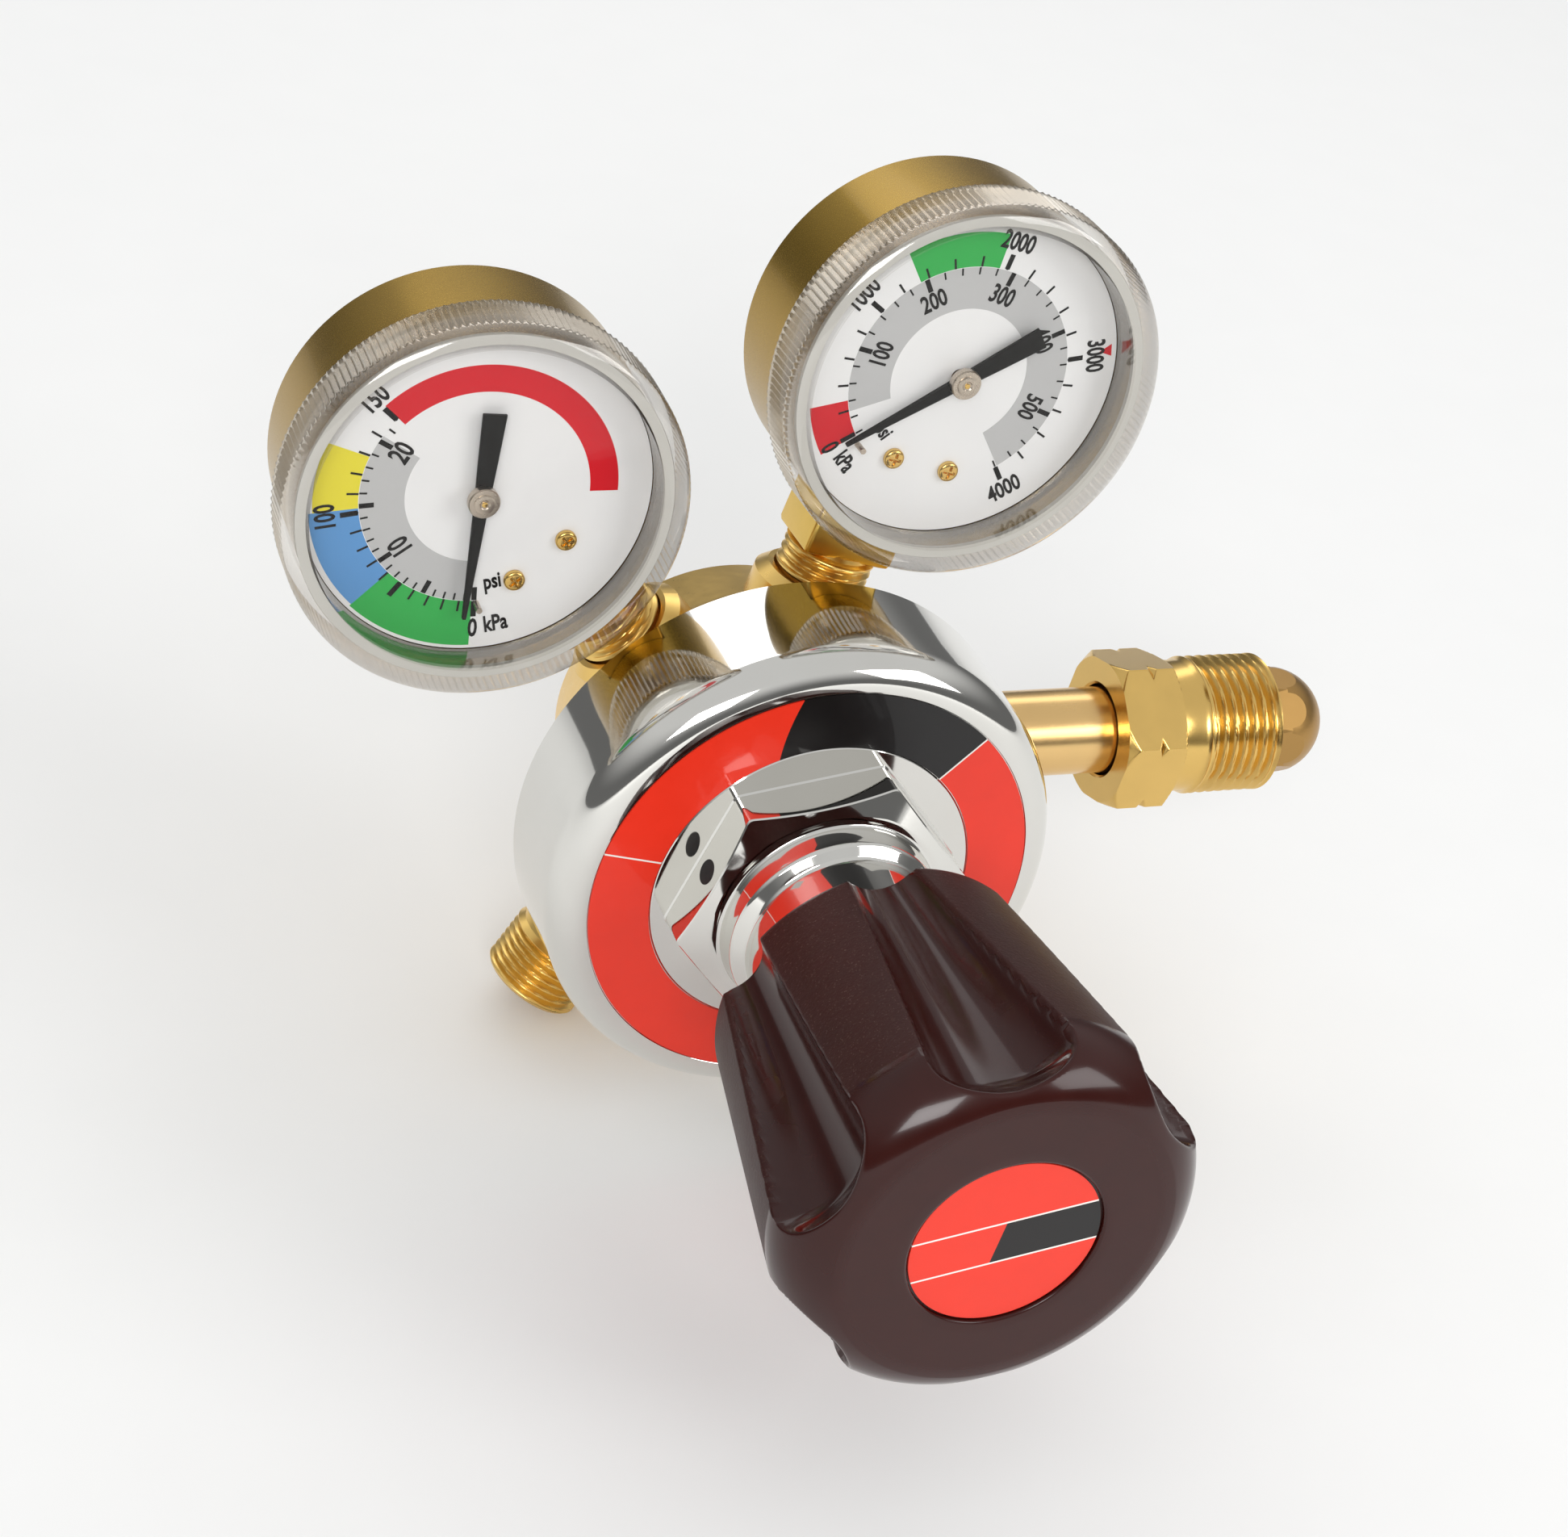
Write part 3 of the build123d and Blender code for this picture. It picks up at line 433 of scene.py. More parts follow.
def discFinish():                     # knob's disc: a black half stripe between two white lines
    finish, x, z, ground = filmFinish("labelDisc")
    shape = discPrint
    tilt = math.radians(shape["tilt"])
    along = x * math.cos(tilt) + z * math.sin(tilt)
    across = z * math.cos(tilt) - x * math.sin(tilt)
    edge = along - across * shape["slant"]
    black = across.under(shape["upper"]) * across.over(shape["lower"]) * edge.over(shape["blackFrom"])
    colour = finish.mix(black, ground, labelBlack)
    for height in (shape["upper"], shape["lower"]):
        line = (across - height).math("ABSOLUTE").under(shape["lineWidth"] / 2)
        colour = finish.mix(line, colour, labelWhite)
    finish.feed("Base Color", colour)
    return finish.material


# Clear plastic: see-through face on, a mirror at a glancing angle; the ribbed skirt mirrors more, and duller.
lensLook = {"window": 0.014, "windowEdge": 0.8, "skirt": 0.34, "skirtEdge": 0.5,
            "tint": (0.96, 0.955, 0.945, 1)}


def lensFinish():
    look = lensLook
    finish = Finish("clearPlastic", Metallic=1.0)
    ribbed = finish.mark("ribbed")
    facing = finish.node("ShaderNodeLayerWeight", {}, {"Blend": 0.5}, output="Facing")
    haze = finish.noise(180, 3)
    window = look["window"] + (facing ** 4.0) * look["windowEdge"]
    skirt = look["skirt"] + (facing ** 1.5) * look["skirtEdge"]
    amount = window + ribbed * (skirt - window)
    finish.feed("Base Color", finish.mix(ribbed, rgb(248, 248, 248), rgb(222, 214, 202)))
    finish.feed("Roughness", (0.03 + ribbed * 0.16 + haze * 0.02).capped())
    clear = finish.node("ShaderNodeBsdfTransparent", {}, {"Color": look["tint"]})
    mirror = Wire(finish, finish.shader.outputs[0])
    both = finish.node("ShaderNodeMixShader", {}, [amount.capped(), clear, mirror])
    finish.tree.links.new(both.socket, finish.tree.nodes["Material Output"].inputs["Surface"])
    return finish.material


def ink(name, colour):
    return plastic(name, colour, 0.5, vary=0.03, marks=0.05, gloss=0.15)


brassStock = metal("brass", rgb(238, 200, 118), 0.30, 0.10, 700, 0.20)
brassTurned = metal("brassTurned", rgb(228, 190, 112), 0.22, 0.08, 1200, 0.25, (6.0, 1.0, 1.0))
brassDrawn = metal("brassDrawn", rgb(232, 194, 132), 0.24, 0.06, 1600, 0.20, (0.06, 1.0, 1.0))
brassDark = metal("brassDark", rgb(176, 138, 82), 0.34, 0.08, 900, 0.20)
brassSocket = metal("brassSocket", rgb(226, 190, 100), 0.30, 0.12, 500, 0.30)
nickel = metal("nickel", rgb(196, 184, 170), 0.28, 0.06, 1600, 0.20)
steel = metal("steel", rgb(176, 176, 178), 0.34)
springSteel = metal("springSteel", rgb(112, 112, 116), 0.36)
bronze = metal("bronze", rgb(150, 112, 70), 0.62, 0.2, 1400, 0.9, depth=0.12)
# dark rubber for the real rubber parts; the same finish is also the painted shade on the bonnet's vent disc
rubber = plastic("rubber", rgb(34, 34, 34), 0.75, marks=0.4, depth=0.04)
paleRubber = plastic("paleRubber", rgb(196, 194, 188), 0.6, marks=0.2, depth=0.02)
seatPlastic = plastic("seatPlastic", rgb(226, 226, 216), 0.5)
pointerBlack = plastic("pointerBlack", rgb(17, 16, 15), 0.5, gloss=0.15)
chrome = chromeFinish()
casePaint = casePaintFinish()
dialWhite = dialFinish()
knobPlastic = knobFinish()
clearPlastic = lensFinish()
inks = {"black": ink("inkBlack", rgb(24, 22, 22)), "grey": ink("inkGrey", rgb(194, 195, 197)),
        "red": ink("inkRed", rgb(216, 32, 44)), "green": ink("inkGreen", rgb(54, 178, 84)),
        "blue": ink("inkBlue", rgb(98, 156, 216)), "yellow": ink("inkYellow", rgb(236, 224, 64))}
print("finishes made")


# Bonnet: a ring profile about the knob's axis whose hexagon rows follow the turn.
bonnetShape = {"labelRecess": 0.3, "edge": 5.2, "acrossFlats": 39.5, "cornerTurn": 70, "cornerAhead": 28.0,
               "frontAhead": 29.9, "frontRadius": 18.05, "collarFoot": 16.8, "collarTop": 16.35,
               "collarEnd": 33.3, "neckFoot": 35.0, "neckRadius": 14.5, "mouth": 36.05, "bore": 11.9,
               "ceiling": 17.2, "boreEnd": 44.5, "screwHole": 6.05, "ventTurn": 160, "ventAhead": 25.6,
               "ventRadius": 1.9, "ventDepth": 1.5, "ventProud": 0.05, "bevel": 0.18, "chamfer": 0.8,
               "lip": 0.25, "cavityEnd": 12.85, "cavityRadius": 31.0, "mouthStart": 0.4}


def hexagonRadius(turn, acrossFlats, cornerTurn):           # distance to the hexagon's side at each turn
    sixth = np.pi / 3
    folded = (turn - math.radians(cornerTurn)) % sixth - sixth / 2
    return acrossFlats / 2 / np.cos(folded)


def makeBonnet():
    shape = bonnetShape
    rimRadius, _, neckEnd = measure("bonnet", knobPlace)
    labelRadius, _, face = measure("bonnet_label", knobPlace)
    labelInner = np.hypot(*knobPlace.into(nodePoints("bonnet_label"))[:, :2].T).min()
    turn = np.linspace(0, 2 * np.pi, 720, endpoint=False)
    corner = shape["acrossFlats"] / math.sqrt(3)
    side = softLower(hexagonRadius(turn, shape["acrossFlats"], shape["cornerTurn"]), corner - 0.15, 0.3)
    slope = (shape["frontAhead"] - shape["cornerAhead"]) / (corner - shape["frontRadius"])
    chamfer = shape["chamfer"]
    rows = [(shape["mouth"], shape["mouthStart"]), (shape["mouth"], shape["cavityEnd"]),
            (shape["cavityRadius"], shape["cavityEnd"]), (shape["cavityRadius"], shape["ceiling"]),
            (shape["bore"], shape["ceiling"]), (shape["bore"], shape["boreEnd"]),
            (shape["screwHole"], shape["boreEnd"]), (shape["screwHole"], neckEnd),
            (shape["neckRadius"] - chamfer, neckEnd), (shape["neckRadius"], neckEnd - chamfer)]
    rows += [(shape["neckRadius"], ahead) for ahead in np.linspace(neckEnd - 2, shape["neckFoot"] + 1.2, 5)]
    collar = [(shape["neckRadius"], shape["neckFoot"] + 1.0), (shape["neckRadius"], shape["neckFoot"]),
              (shape["collarTop"], shape["collarEnd"] + 0.45),
              (shape["collarTop"] + 0.05, shape["collarEnd"] - 0.5),
              (shape["collarFoot"], shape["frontAhead"]), (shape["frontRadius"], shape["frontAhead"])]
    rows += roundCorners(collar, 0.55, 6, closed=False).tolist()
    for share in np.linspace(0, 1, 12)[1:]:                 # the cone that chamfers the hexagon
        radius = shape["frontRadius"] + (side - shape["frontRadius"]) * share
        rows.append((radius, shape["frontAhead"] - slope * (radius - shape["frontRadius"])))
    top = shape["frontAhead"] - slope * (side - shape["frontRadius"])
    bevel = shape["bevel"]
    rows[-1] = (side - bevel, top + slope * bevel)
    rows += [(side, top - bevel), (side, top * 0.5 + face * 0.5), (side, face + 0.25), (side + 0.25, face)]
    lip = shape["lip"]
    inner, outer, recess = labelInner - 0.1, labelRadius + 0.1, face - shape["labelRecess"]
    rows += [(inner - lip, face), (inner, face - lip), (inner, recess), (outer, recess), (outer, face - lip),
             (outer + lip, face)]
    for angle in np.linspace(0, np.pi / 2, 17):
        rows.append((rimRadius - shape["edge"] + shape["edge"] * np.sin(angle),
                     face - shape["edge"] + shape["edge"] * np.cos(angle)))
    rows += [(rimRadius, ahead) for ahead in (12.0, 6.0, 0.5)]
    rows += [(rimRadius - 0.5, 0), (shape["mouth"] + shape["mouthStart"], 0)]
    skin("bonnet_shell", turnedRows(rows, len(turn)), knobPlace, chrome, "root", ring=True, smooth=30,
         replaces=("bonnet",), slot="chrome")


# The vent hole is shown by a dark disc with a bevelled rim, which stands a hair proud of the hexagon's flat: the
# disc's dark rubber colour is painted shade, standing for the shadowed inside of the hole.
def makeVent():
    shape = bonnetShape
    turn = math.radians(shape["ventTurn"])
    flat = float(hexagonRadius(np.array(turn), shape["acrossFlats"], shape["cornerTurn"]))
    spot = knobPlace.out([flat * math.cos(turn), flat * math.sin(turn), shape["ventAhead"]])
    outward = np.array([math.cos(turn), math.sin(turn), 0]) @ knobPlace.axes
    place = Place(spot, knobPlace.axes[2], outward)
    reach, foot, proud = shape["ventRadius"], -shape["ventDepth"], shape["ventProud"]
    outline = [(0, foot), (reach, foot), (reach, proud - 0.03), (reach - 0.1, proud), (0, proud)]
    # painted shade: the dark rubber finish on this disc stands for the shade inside the vent hole
    lathe("bonnet_vent_shade_disc", outline, place, rubber, "root", 48, slot="rubber")


makeBonnet()
makeVent()
print("bonnet made")


# Knob: radius = the softened lower of the body's radius and each flute's cylinder,
# c = D cos d - sqrt(a^2 - D^2 sin^2 d), where d is the angle from the flute's middle, a the cylinder's radius
# and D = floor + a its distance. Past liftStart the flute's floor rises and its width closes in.
knobShape = {"hollow": 15.8, "hollowEnd": 66.0, "rear": 49.5, "rearRadius": 24.0, "brim": 90.5,
             "brimRadius": 30.0, "brimMiddle": (28.2, 97.2), "faceRadius": 24.0, "labelGap": 0.35,
             "edge": 0.8, "outerFrom": 19.0, "sideRows": 82, "columns": 600, "bore": 6.0, "screwBore": 2.6,
             "screwEnd": 88.0, "counterbore": 7.0,
             "flutes": 6, "firstFlute": 98.0, "rearFloor": 20.6, "frontFloor": 22.0, "rearHalf": 12.0,
             "frontHalf": 19.4, "liftStart": 92.5, "liftEnd": 101.8, "lift": 5.2, "closing": 8.2,
             "closingPower": 2.6, "leastDepth": 0.4, "round": 0.9, "grainEnd": 89.8}


def arcThrough(first, middle, last, steps):   # the circle through three points, walked from first to last
    first, middle, last = (np.array(point, float) for point in (first, middle, last))
    sides = np.array([middle - first, last - first])
    centre = np.linalg.solve(sides, 0.5 * (np.array([middle @ middle, last @ last]) - first @ first))
    start, end = (math.atan2(*(point - centre)[::-1]) for point in (first, last))
    angles = np.linspace(start, end, steps)
    return centre + np.linalg.norm(first - centre) * np.stack([np.cos(angles), np.sin(angles)], -1)


def makeKnob():
    shape = knobShape
    _, _, face = measure("knob", knobPlace)
    recess = measure("knob_label", knobPlace)[0] + shape["labelGap"]
    floor = measure("knob_label", knobPlace)[1]
    rear, hollow, counterbore = shape["rear"], shape["hollow"], shape["counterbore"]
    growth = shape["brimRadius"] - shape["rearRadius"]
    side = np.linspace(rear + shape["edge"], shape["brim"], shape["sideRows"])
    sideRadius = shape["rearRadius"] + growth * (side - side[0]) / np.ptp(side)
    brimStart = shape["brimRadius"], shape["brim"]
    brim = arcThrough(brimStart, shape["brimMiddle"], (shape["faceRadius"], face), 34)
    outline = [(hollow, shape["hollowEnd"]), (hollow, rear + 0.4), (hollow + 0.4, rear), (19.5, rear),
               (22.0, rear), (shape["rearRadius"] - shape["edge"], rear),
               (shape["rearRadius"] - 0.2, rear + 0.25)]
    outline += list(zip(sideRadius, side)) + brim[1:].tolist()
    outline += [(radius, face) for radius in (22.0, 19.0, 16.0, recess + 0.5)]
    outline += [(recess + 0.15, face - 0.06), (recess, face - 0.3), (recess, floor), (counterbore, floor),
                (counterbore, shape["screwEnd"] + 1), (shape["screwBore"], shape["screwEnd"] + 1),
                (shape["screwBore"], shape["screwEnd"]), (shape["bore"], shape["screwEnd"]),
                (shape["bore"], shape["hollowEnd"])]
    outline = np.array(outline)
    body, ahead = outline[:, :1], outline[:, 1:]
    turn = np.linspace(0, 2 * np.pi, shape["columns"], endpoint=False)[None, :]
    sixth = 2 * np.pi / shape["flutes"]
    off = (turn - math.radians(shape["firstFlute"]) + sixth / 2) % sixth - sixth / 2
    along = np.clip((ahead - rear) / (shape["liftStart"] - rear), 0, 1)
    lift = smoothStep(ahead, shape["liftStart"], shape["liftEnd"]) * shape["lift"]
    base = shape["rearFloor"] + (shape["frontFloor"] - shape["rearFloor"]) * along + lift
    wide = np.radians(shape["rearHalf"] + (shape["frontHalf"] - shape["rearHalf"]) * along)
    closed = np.clip((ahead - shape["liftStart"]) / shape["closing"], 0, 1) ** shape["closingPower"]
    wide = wide * np.sqrt(np.clip(1 - closed, 0.02, 1))
    whole = shape["rearRadius"] + growth * along
    reach = np.maximum(whole * np.cos(wide) - base, shape["leastDepth"])
    curve = (whole ** 2 + base ** 2 - 2 * whole * base * np.cos(wide)) / (2 * reach)
    distance = base + curve
    inside = curve ** 2 - (distance * np.sin(off)) ** 2
    cut = np.where(inside > 0, distance * np.cos(off) - np.sqrt(np.maximum(inside, 0)), 99.0)
    outer = body > shape["outerFrom"]
    fluted = softLower(body, np.minimum(cut, body + 9), shape["round"])
    radius = np.where((ahead < face - 0.01) & outer, np.minimum(fluted, body), body)
    ridge = smoothStep(radius - body, -0.9, -0.25)
    grain = ridge * (1 - smoothStep(ahead, shape["grainEnd"] - 0.2, shape["grainEnd"] + 0.3)) * outer
    flat = np.broadcast_to((ahead > face - 0.02) & (body < shape["faceRadius"] - 0.5), radius.shape)
    skin("knob_body", turned(radius, ahead, shape["columns"]), knobPlace, knobPlastic, "control_knob",
         ring=True, smooth=75, replaces=("knob",), slot="knob_plastic", marks={"grain": grain, "face": flat})


makeKnob()
print("knob made")


# Union nut: hexagon head with bevelled and notched corners, then a collar and a helical thread.
nutShape = {"acrossFlats": 23.5, "cornerTurn": 41.4, "back": -22.0, "front": -11.5, "bevel": 1.5,
            "notch": 0.85, "notchAt": -16.25, "collar": 10.9, "pitch": 25.4 / 14, "depth": 1.05,
            "bore": 7.6, "socket": 9.5, "socketStart": -2.0, "headRound": 0.12, "columns": 480}


def makeNut():
    shape = nutShape
    crest = mounts["inlet_thread"]["dims"]["r_mm"]
    half = mounts["inlet_thread"]["dims"]["length_mm"] / 2
    columns, socket, bore = shape["columns"], shape["socket"], shape["bore"]
    turn = np.linspace(0, 2 * np.pi, columns, endpoint=False)
    corner = shape["acrossFlats"] / math.sqrt(3)
    ahead = np.concatenate([np.linspace(shape["back"], shape["back"] + 2.6, 14),
                            np.linspace(shape["back"] + 2.9, shape["notchAt"] - 1.0, 5),
                            np.linspace(shape["notchAt"] - 0.9, shape["notchAt"] + 0.9, 13),
                            np.linspace(shape["notchAt"] + 1.0, shape["front"] - 2.2, 4),
                            np.linspace(shape["front"] - 2.0, shape["front"], 12)])[:, None]
    side = hexagonRadius(turn, shape["acrossFlats"], shape["cornerTurn"])[None, :]
    backward = corner - shape["bevel"] + (ahead - shape["back"])
    forward = corner - shape["bevel"] + (shape["front"] - ahead) * 2
    notched = corner - shape["notch"] + np.abs(ahead - shape["notchAt"]) * 1.1
    envelope = np.minimum(np.minimum(backward, forward), notched)
    head = softLower(side, np.broadcast_to(envelope, (len(ahead), columns)), shape["headRound"])
    radius, along = threaded(crest, shape["depth"], shape["pitch"], -half, half, columns, 14, 0.6)
    neck = [(shape["collar"] + 0.4, shape["front"]), (shape["collar"], shape["front"] + 0.4),
            (shape["collar"], -half - 0.9), (shape["collar"] + 0.35, -half - 0.25)]
    tail = [(crest - 0.9, half + 0.45), (crest - 1.1, half + 0.6), (socket + 0.3, half + 0.6),
            (socket, half + 0.3), (socket, shape["socketStart"]), (bore, shape["socketStart"]),
            (bore, shape["back"] + 0.4), (bore + 0.4, shape["back"])]
    rows = list(zip(head, ahead)) + neck + list(zip(radius, along)) + tail
    skin("inlet_nut_body", turnedRows(rows, columns), inletPlace, brassTurned, "union_nut", ring=True,
         smooth=36, replaces=("inlet_nut",), slot="brass")


# Outlet: neck, flange and helical thread with a coned mouth.
outletShape = {"shank": 6.95, "shankStart": 29.5, "face": 40.0, "flange": 9.0, "neck": 7.6, "pitch": 25.4 / 19,
               "depth": 0.8, "mouth": 5.4, "bore": 3.0, "end": 54.5, "coneEnd": 50.34, "columns": 256}


def makeOutlet():
    shape = outletShape
    crest = mounts["outlet_thread"]["dims"]["r_mm"]
    half = mounts["outlet_thread"]["dims"]["length_mm"] / 2
    middle = outletPlace.into(np.array(mounts["outlet_thread"]["pos_m"]))[2]
    shank, flange, face, end, columns = (shape[key] for key in ("shank", "flange", "face", "end", "columns"))
    radius, along = threaded(crest, shape["depth"], shape["pitch"], middle - half, middle + half, columns)
    start = [(shank, shape["shankStart"]), (shank, face), (flange - 0.2, face), (flange, face + 0.2),
             (flange, face + 0.9), (flange - 0.3, face + 1.1), (shape["neck"], face + 1.6),
             (shape["neck"], middle - half - 0.9)]
    nose = [(crest - 0.45, end - 0.1), (crest - 0.8, end), (shape["mouth"] + 0.2, end),
            (shape["mouth"], end - 0.2), (shape["bore"], shape["coneEnd"]),
            (shape["bore"], shape["shankStart"])]
    rows = start + list(zip(radius, along)) + nose
    skin("outlet_body", turnedRows(rows, columns), outletPlace, brassStock, "root", ring=True, smooth=36,
         replaces=("outlet_connector",), slot="brass")


makeNut()
makeOutlet()
print("nut and outlet made")


# Gauges. Dial angles run clockwise from the stem's far side, as seen through the glass.
dialShape = {"sunk": -0.01, "bandTop": 0.03, "tickTop": 0.06, "letterTop": 0.09, "letterHeight": 4.1,
             "letterWidth": 0.68, "letterWeight": 0.022}


# Flat arc: point = (r sin a, r cos a, ahead), with a four-sided section swept along the angle.
def arcBand(name, inner, outer, start, end, place, colour):
    turn = np.radians(np.linspace(start, end, max(3, int(abs(end - start) / 2.5) + 1)))[:, None]
    low, high = dialShape["sunk"], dialShape["bandTop"]
    section = np.array([(inner, low), (outer, low), (outer, high), (inner, high)])
    radius, ahead = section[None, :, 0], section[None, :, 1]
    grid = np.stack(np.broadcast_arrays(radius * np.sin(turn), radius * np.cos(turn), ahead), -1)
    skin(name, grid, place, inks[colour], "root", caps=True, smooth=0, slot="dial_white")


# Ticks: each a thin box from inner to outer along its own angle, all in one mesh.
def ticks(name, groups, place):
    lists = []
    for angles, *sizes in groups:
        angles = np.radians(np.asarray(angles, float))
        lists.append(np.stack([angles, *(np.full(len(angles), size) for size in sizes)], -1))
    angle, inner, outer, width = np.concatenate(lists).T
    outward = np.stack([np.sin(angle), np.cos(angle)], -1)[:, None, :]
    sideways = np.stack([np.cos(angle), -np.sin(angle)], -1)[:, None, :]
    reach = np.stack([inner, outer, outer, inner], -1)[:, :, None]
    aside = np.stack([-width, -width, width, width], -1)[:, :, None] / 2
    flat = outward * reach + sideways * aside
    low = np.concatenate([flat, np.full((*flat.shape[:2], 1), dialShape["sunk"])], -1)
    high = np.concatenate([flat, np.full((*flat.shape[:2], 1), dialShape["tickTop"])], -1)
    points = np.concatenate([low, high], 1).reshape(-1, 3)
    box = np.array([(0, 1, 2, 3), (7, 6, 5, 4), (0, 4, 5, 1), (1, 5, 6, 2), (2, 6, 7, 3), (3, 7, 4, 0)])
    faces = (box[None] + 8 * np.arange(len(angle))[:, None, None]).reshape(-1, 4).tolist()
    makeMesh(name, points, faces, place, inks["black"], "root", smooth=0, slot="dial_white")


def letters(text):                    # a string as points in millimetres and faces, closed at its seams
    curve = bpy.data.curves.new("letters", "FONT")
    curve.body, curve.size, curve.align_x, curve.align_y = text, 1.0, "CENTER", "CENTER"
    curve.extrude, curve.resolution_u, curve.offset = 0.5, 3, dialShape["letterWeight"]
    holder = bpy.data.objects.new("letters", curve)
    bpy.context.scene.collection.objects.link(holder)
    mesh = bpy.data.meshes.new_from_object(holder.evaluated_get(bpy.context.evaluated_depsgraph_get()))
    points = np.zeros(len(mesh.vertices) * 3)
    mesh.vertices.foreach_get("co", points)
    faces = [list(polygon.vertices) for polygon in mesh.polygons]
    bpy.data.objects.remove(holder)
    bpy.data.curves.remove(curve)
    bpy.data.meshes.remove(mesh)
    points, where = np.unique(points.reshape(-1, 3).round(5), axis=0, return_inverse=True)
    merged = [list(dict.fromkeys(where.reshape(-1)[face].tolist())) for face in faces]
    return points, [face for face in merged if len(face) > 2]


# Numerals: each string is scaled, turned to its angle and moved out to its radius, all in one mesh.
def numerals(name, words, place):
    shape = dialShape
    points, faces, count = [], [], 0
    for text, angle, radius, scale in words:
        flat, own = letters(text)
        turn = math.radians(angle + (180 if 112 < angle % 360 < 250 else 0))
        x = flat[:, 0] * shape["letterHeight"] * shape["letterWidth"] * scale
        y = flat[:, 1] * shape["letterHeight"] * scale
        ahead = (flat[:, 2] + 0.5) * shape["letterTop"]
        spot = radius * math.sin(math.radians(angle)), radius * math.cos(math.radians(angle))
        points.append(np.stack([spot[0] + x * math.cos(turn) + y * math.sin(turn),
                                spot[1] - x * math.sin(turn) + y * math.cos(turn), ahead], -1))
        faces += [[corner + count for corner in face] for face in own]
        count += len(flat)
    makeMesh(name, np.concatenate(points), faces, place, inks["black"], "root", smooth=0, slot="dial_white")


def contentsAngle(pressure):          # the supply scale is even: 270 degrees for 4000 kPa
    return 225 + np.asarray(pressure, float) * 270 / 4000


def workingAngle(pressure):           # the delivery scale opens out a little as it rises
    pressure = np.asarray(pressure, float)
    return 220 + 0.711 * pressure + 0.00126 * pressure ** 2


psi = 6.895                           # kilopascals in one pound per square inch


def contentsPrint(place):
    arcBand("contents_grey_band", 10.7, 17.1, 238, 494, place, "grey")
    arcBand("contents_red_band", 17.2, 23.0, 224, 244, place, "red")
    arcBand("contents_green_band", 17.2, 22.5, 315, 356, place, "green")
    big, small = np.arange(0, 4001, 1000), np.arange(0, 4001, 200)
    ticks("contents_ticks", [(contentsAngle(big), 17.3, 19.6, 0.75), (contentsAngle(small), 17.2, 18.8, 0.32),
                             (contentsAngle(np.arange(100, 501, 100) * psi), 15.0, 17.1, 0.75),
                             (contentsAngle(np.arange(0, 581, 20) * psi), 16.0, 17.1, 0.26)], place)
    words = [(str(value), float(contentsAngle(value)), 21.5, 0.95) for value in big]
    words += [(str(value), float(contentsAngle(value * psi)), 13.3, 0.95) for value in range(100, 501, 100)]
    words += [("kPa", 215.5, 20.6, 0.85), ("psi", 216.5, 13.4, 0.8)]
    numerals("contents_numerals", words, place)
    apex = math.radians(66.2)
    flat = np.array([(22.3, 0), (24.2, 0.95), (24.2, -0.95)])
    outward = np.array([math.sin(apex), math.cos(apex)])
    aside = np.array([math.cos(apex), -math.sin(apex)])
    corners = flat[:, :1] * outward + flat[:, 1:] * aside
    heights = dialShape["sunk"], dialShape["tickTop"]
    grid = [np.column_stack([corners, np.full(3, height)]) for height in heights]
    skin("contents_limit_mark", grid, place, inks["red"], "root", caps=True, smooth=0, slot="dial_white")


def workingPrint(place):
    arcBand("working_grey_band", 10.7, 17.1, 222, 345, place, "grey")
    arcBand("working_green_band", 17.2, 24.5, 221, 267, place, "green")
    arcBand("working_blue_band", 17.2, 24.2, 267, 306, place, "blue")
    arcBand("working_yellow_band", 17.2, 23.6, 306, 333, place, "yellow")
    arcBand("working_red_band", 15.9, 20.0, 356, 491.5, place, "red")
    big, small = np.arange(0, 151, 50), np.arange(0, 151, 10)
    ticks("working_ticks", [(workingAngle(big), 17.3, 19.8, 0.8), (workingAngle(small), 17.2, 18.9, 0.32),
                            (workingAngle(np.arange(0, 22, 5) * psi), 15.0, 17.1, 0.75),
                            (workingAngle(np.arange(0, 22, 1) * psi), 16.0, 17.1, 0.28)], place)
    words = [(str(value), float(workingAngle(value)), 21.8, 1.0) for value in (0, 100, 150)]
    words += [(str(value), float(workingAngle(value * psi)), 13.3, 1.05) for value in (10, 20)]
    words += [("kPa", 211.0, 21.4, 0.9), ("psi", 210.0, 14.4, 0.85)]
    numerals("working_numerals", words, place)


# Lens: radius = outline - ribDepth (1/2 - cos(ribs * turn) / 2) on the skirt. Each outline point holds its
# radius, its place ahead, and how far it looks like the ribbed skirt instead of the window.
lensShape = {"ribs": 168, "ribDepth": 0.34, "ribStart": 3.0, "ribRadius": 28.9, "dome": 25.2, "rise": 0.9,
             "thickness": 1.6, "seam": 3.7, "bore": 27.0, "collarOuter": 25.36, "collarInner": 25.06,
             "collarFoot": 0.25}


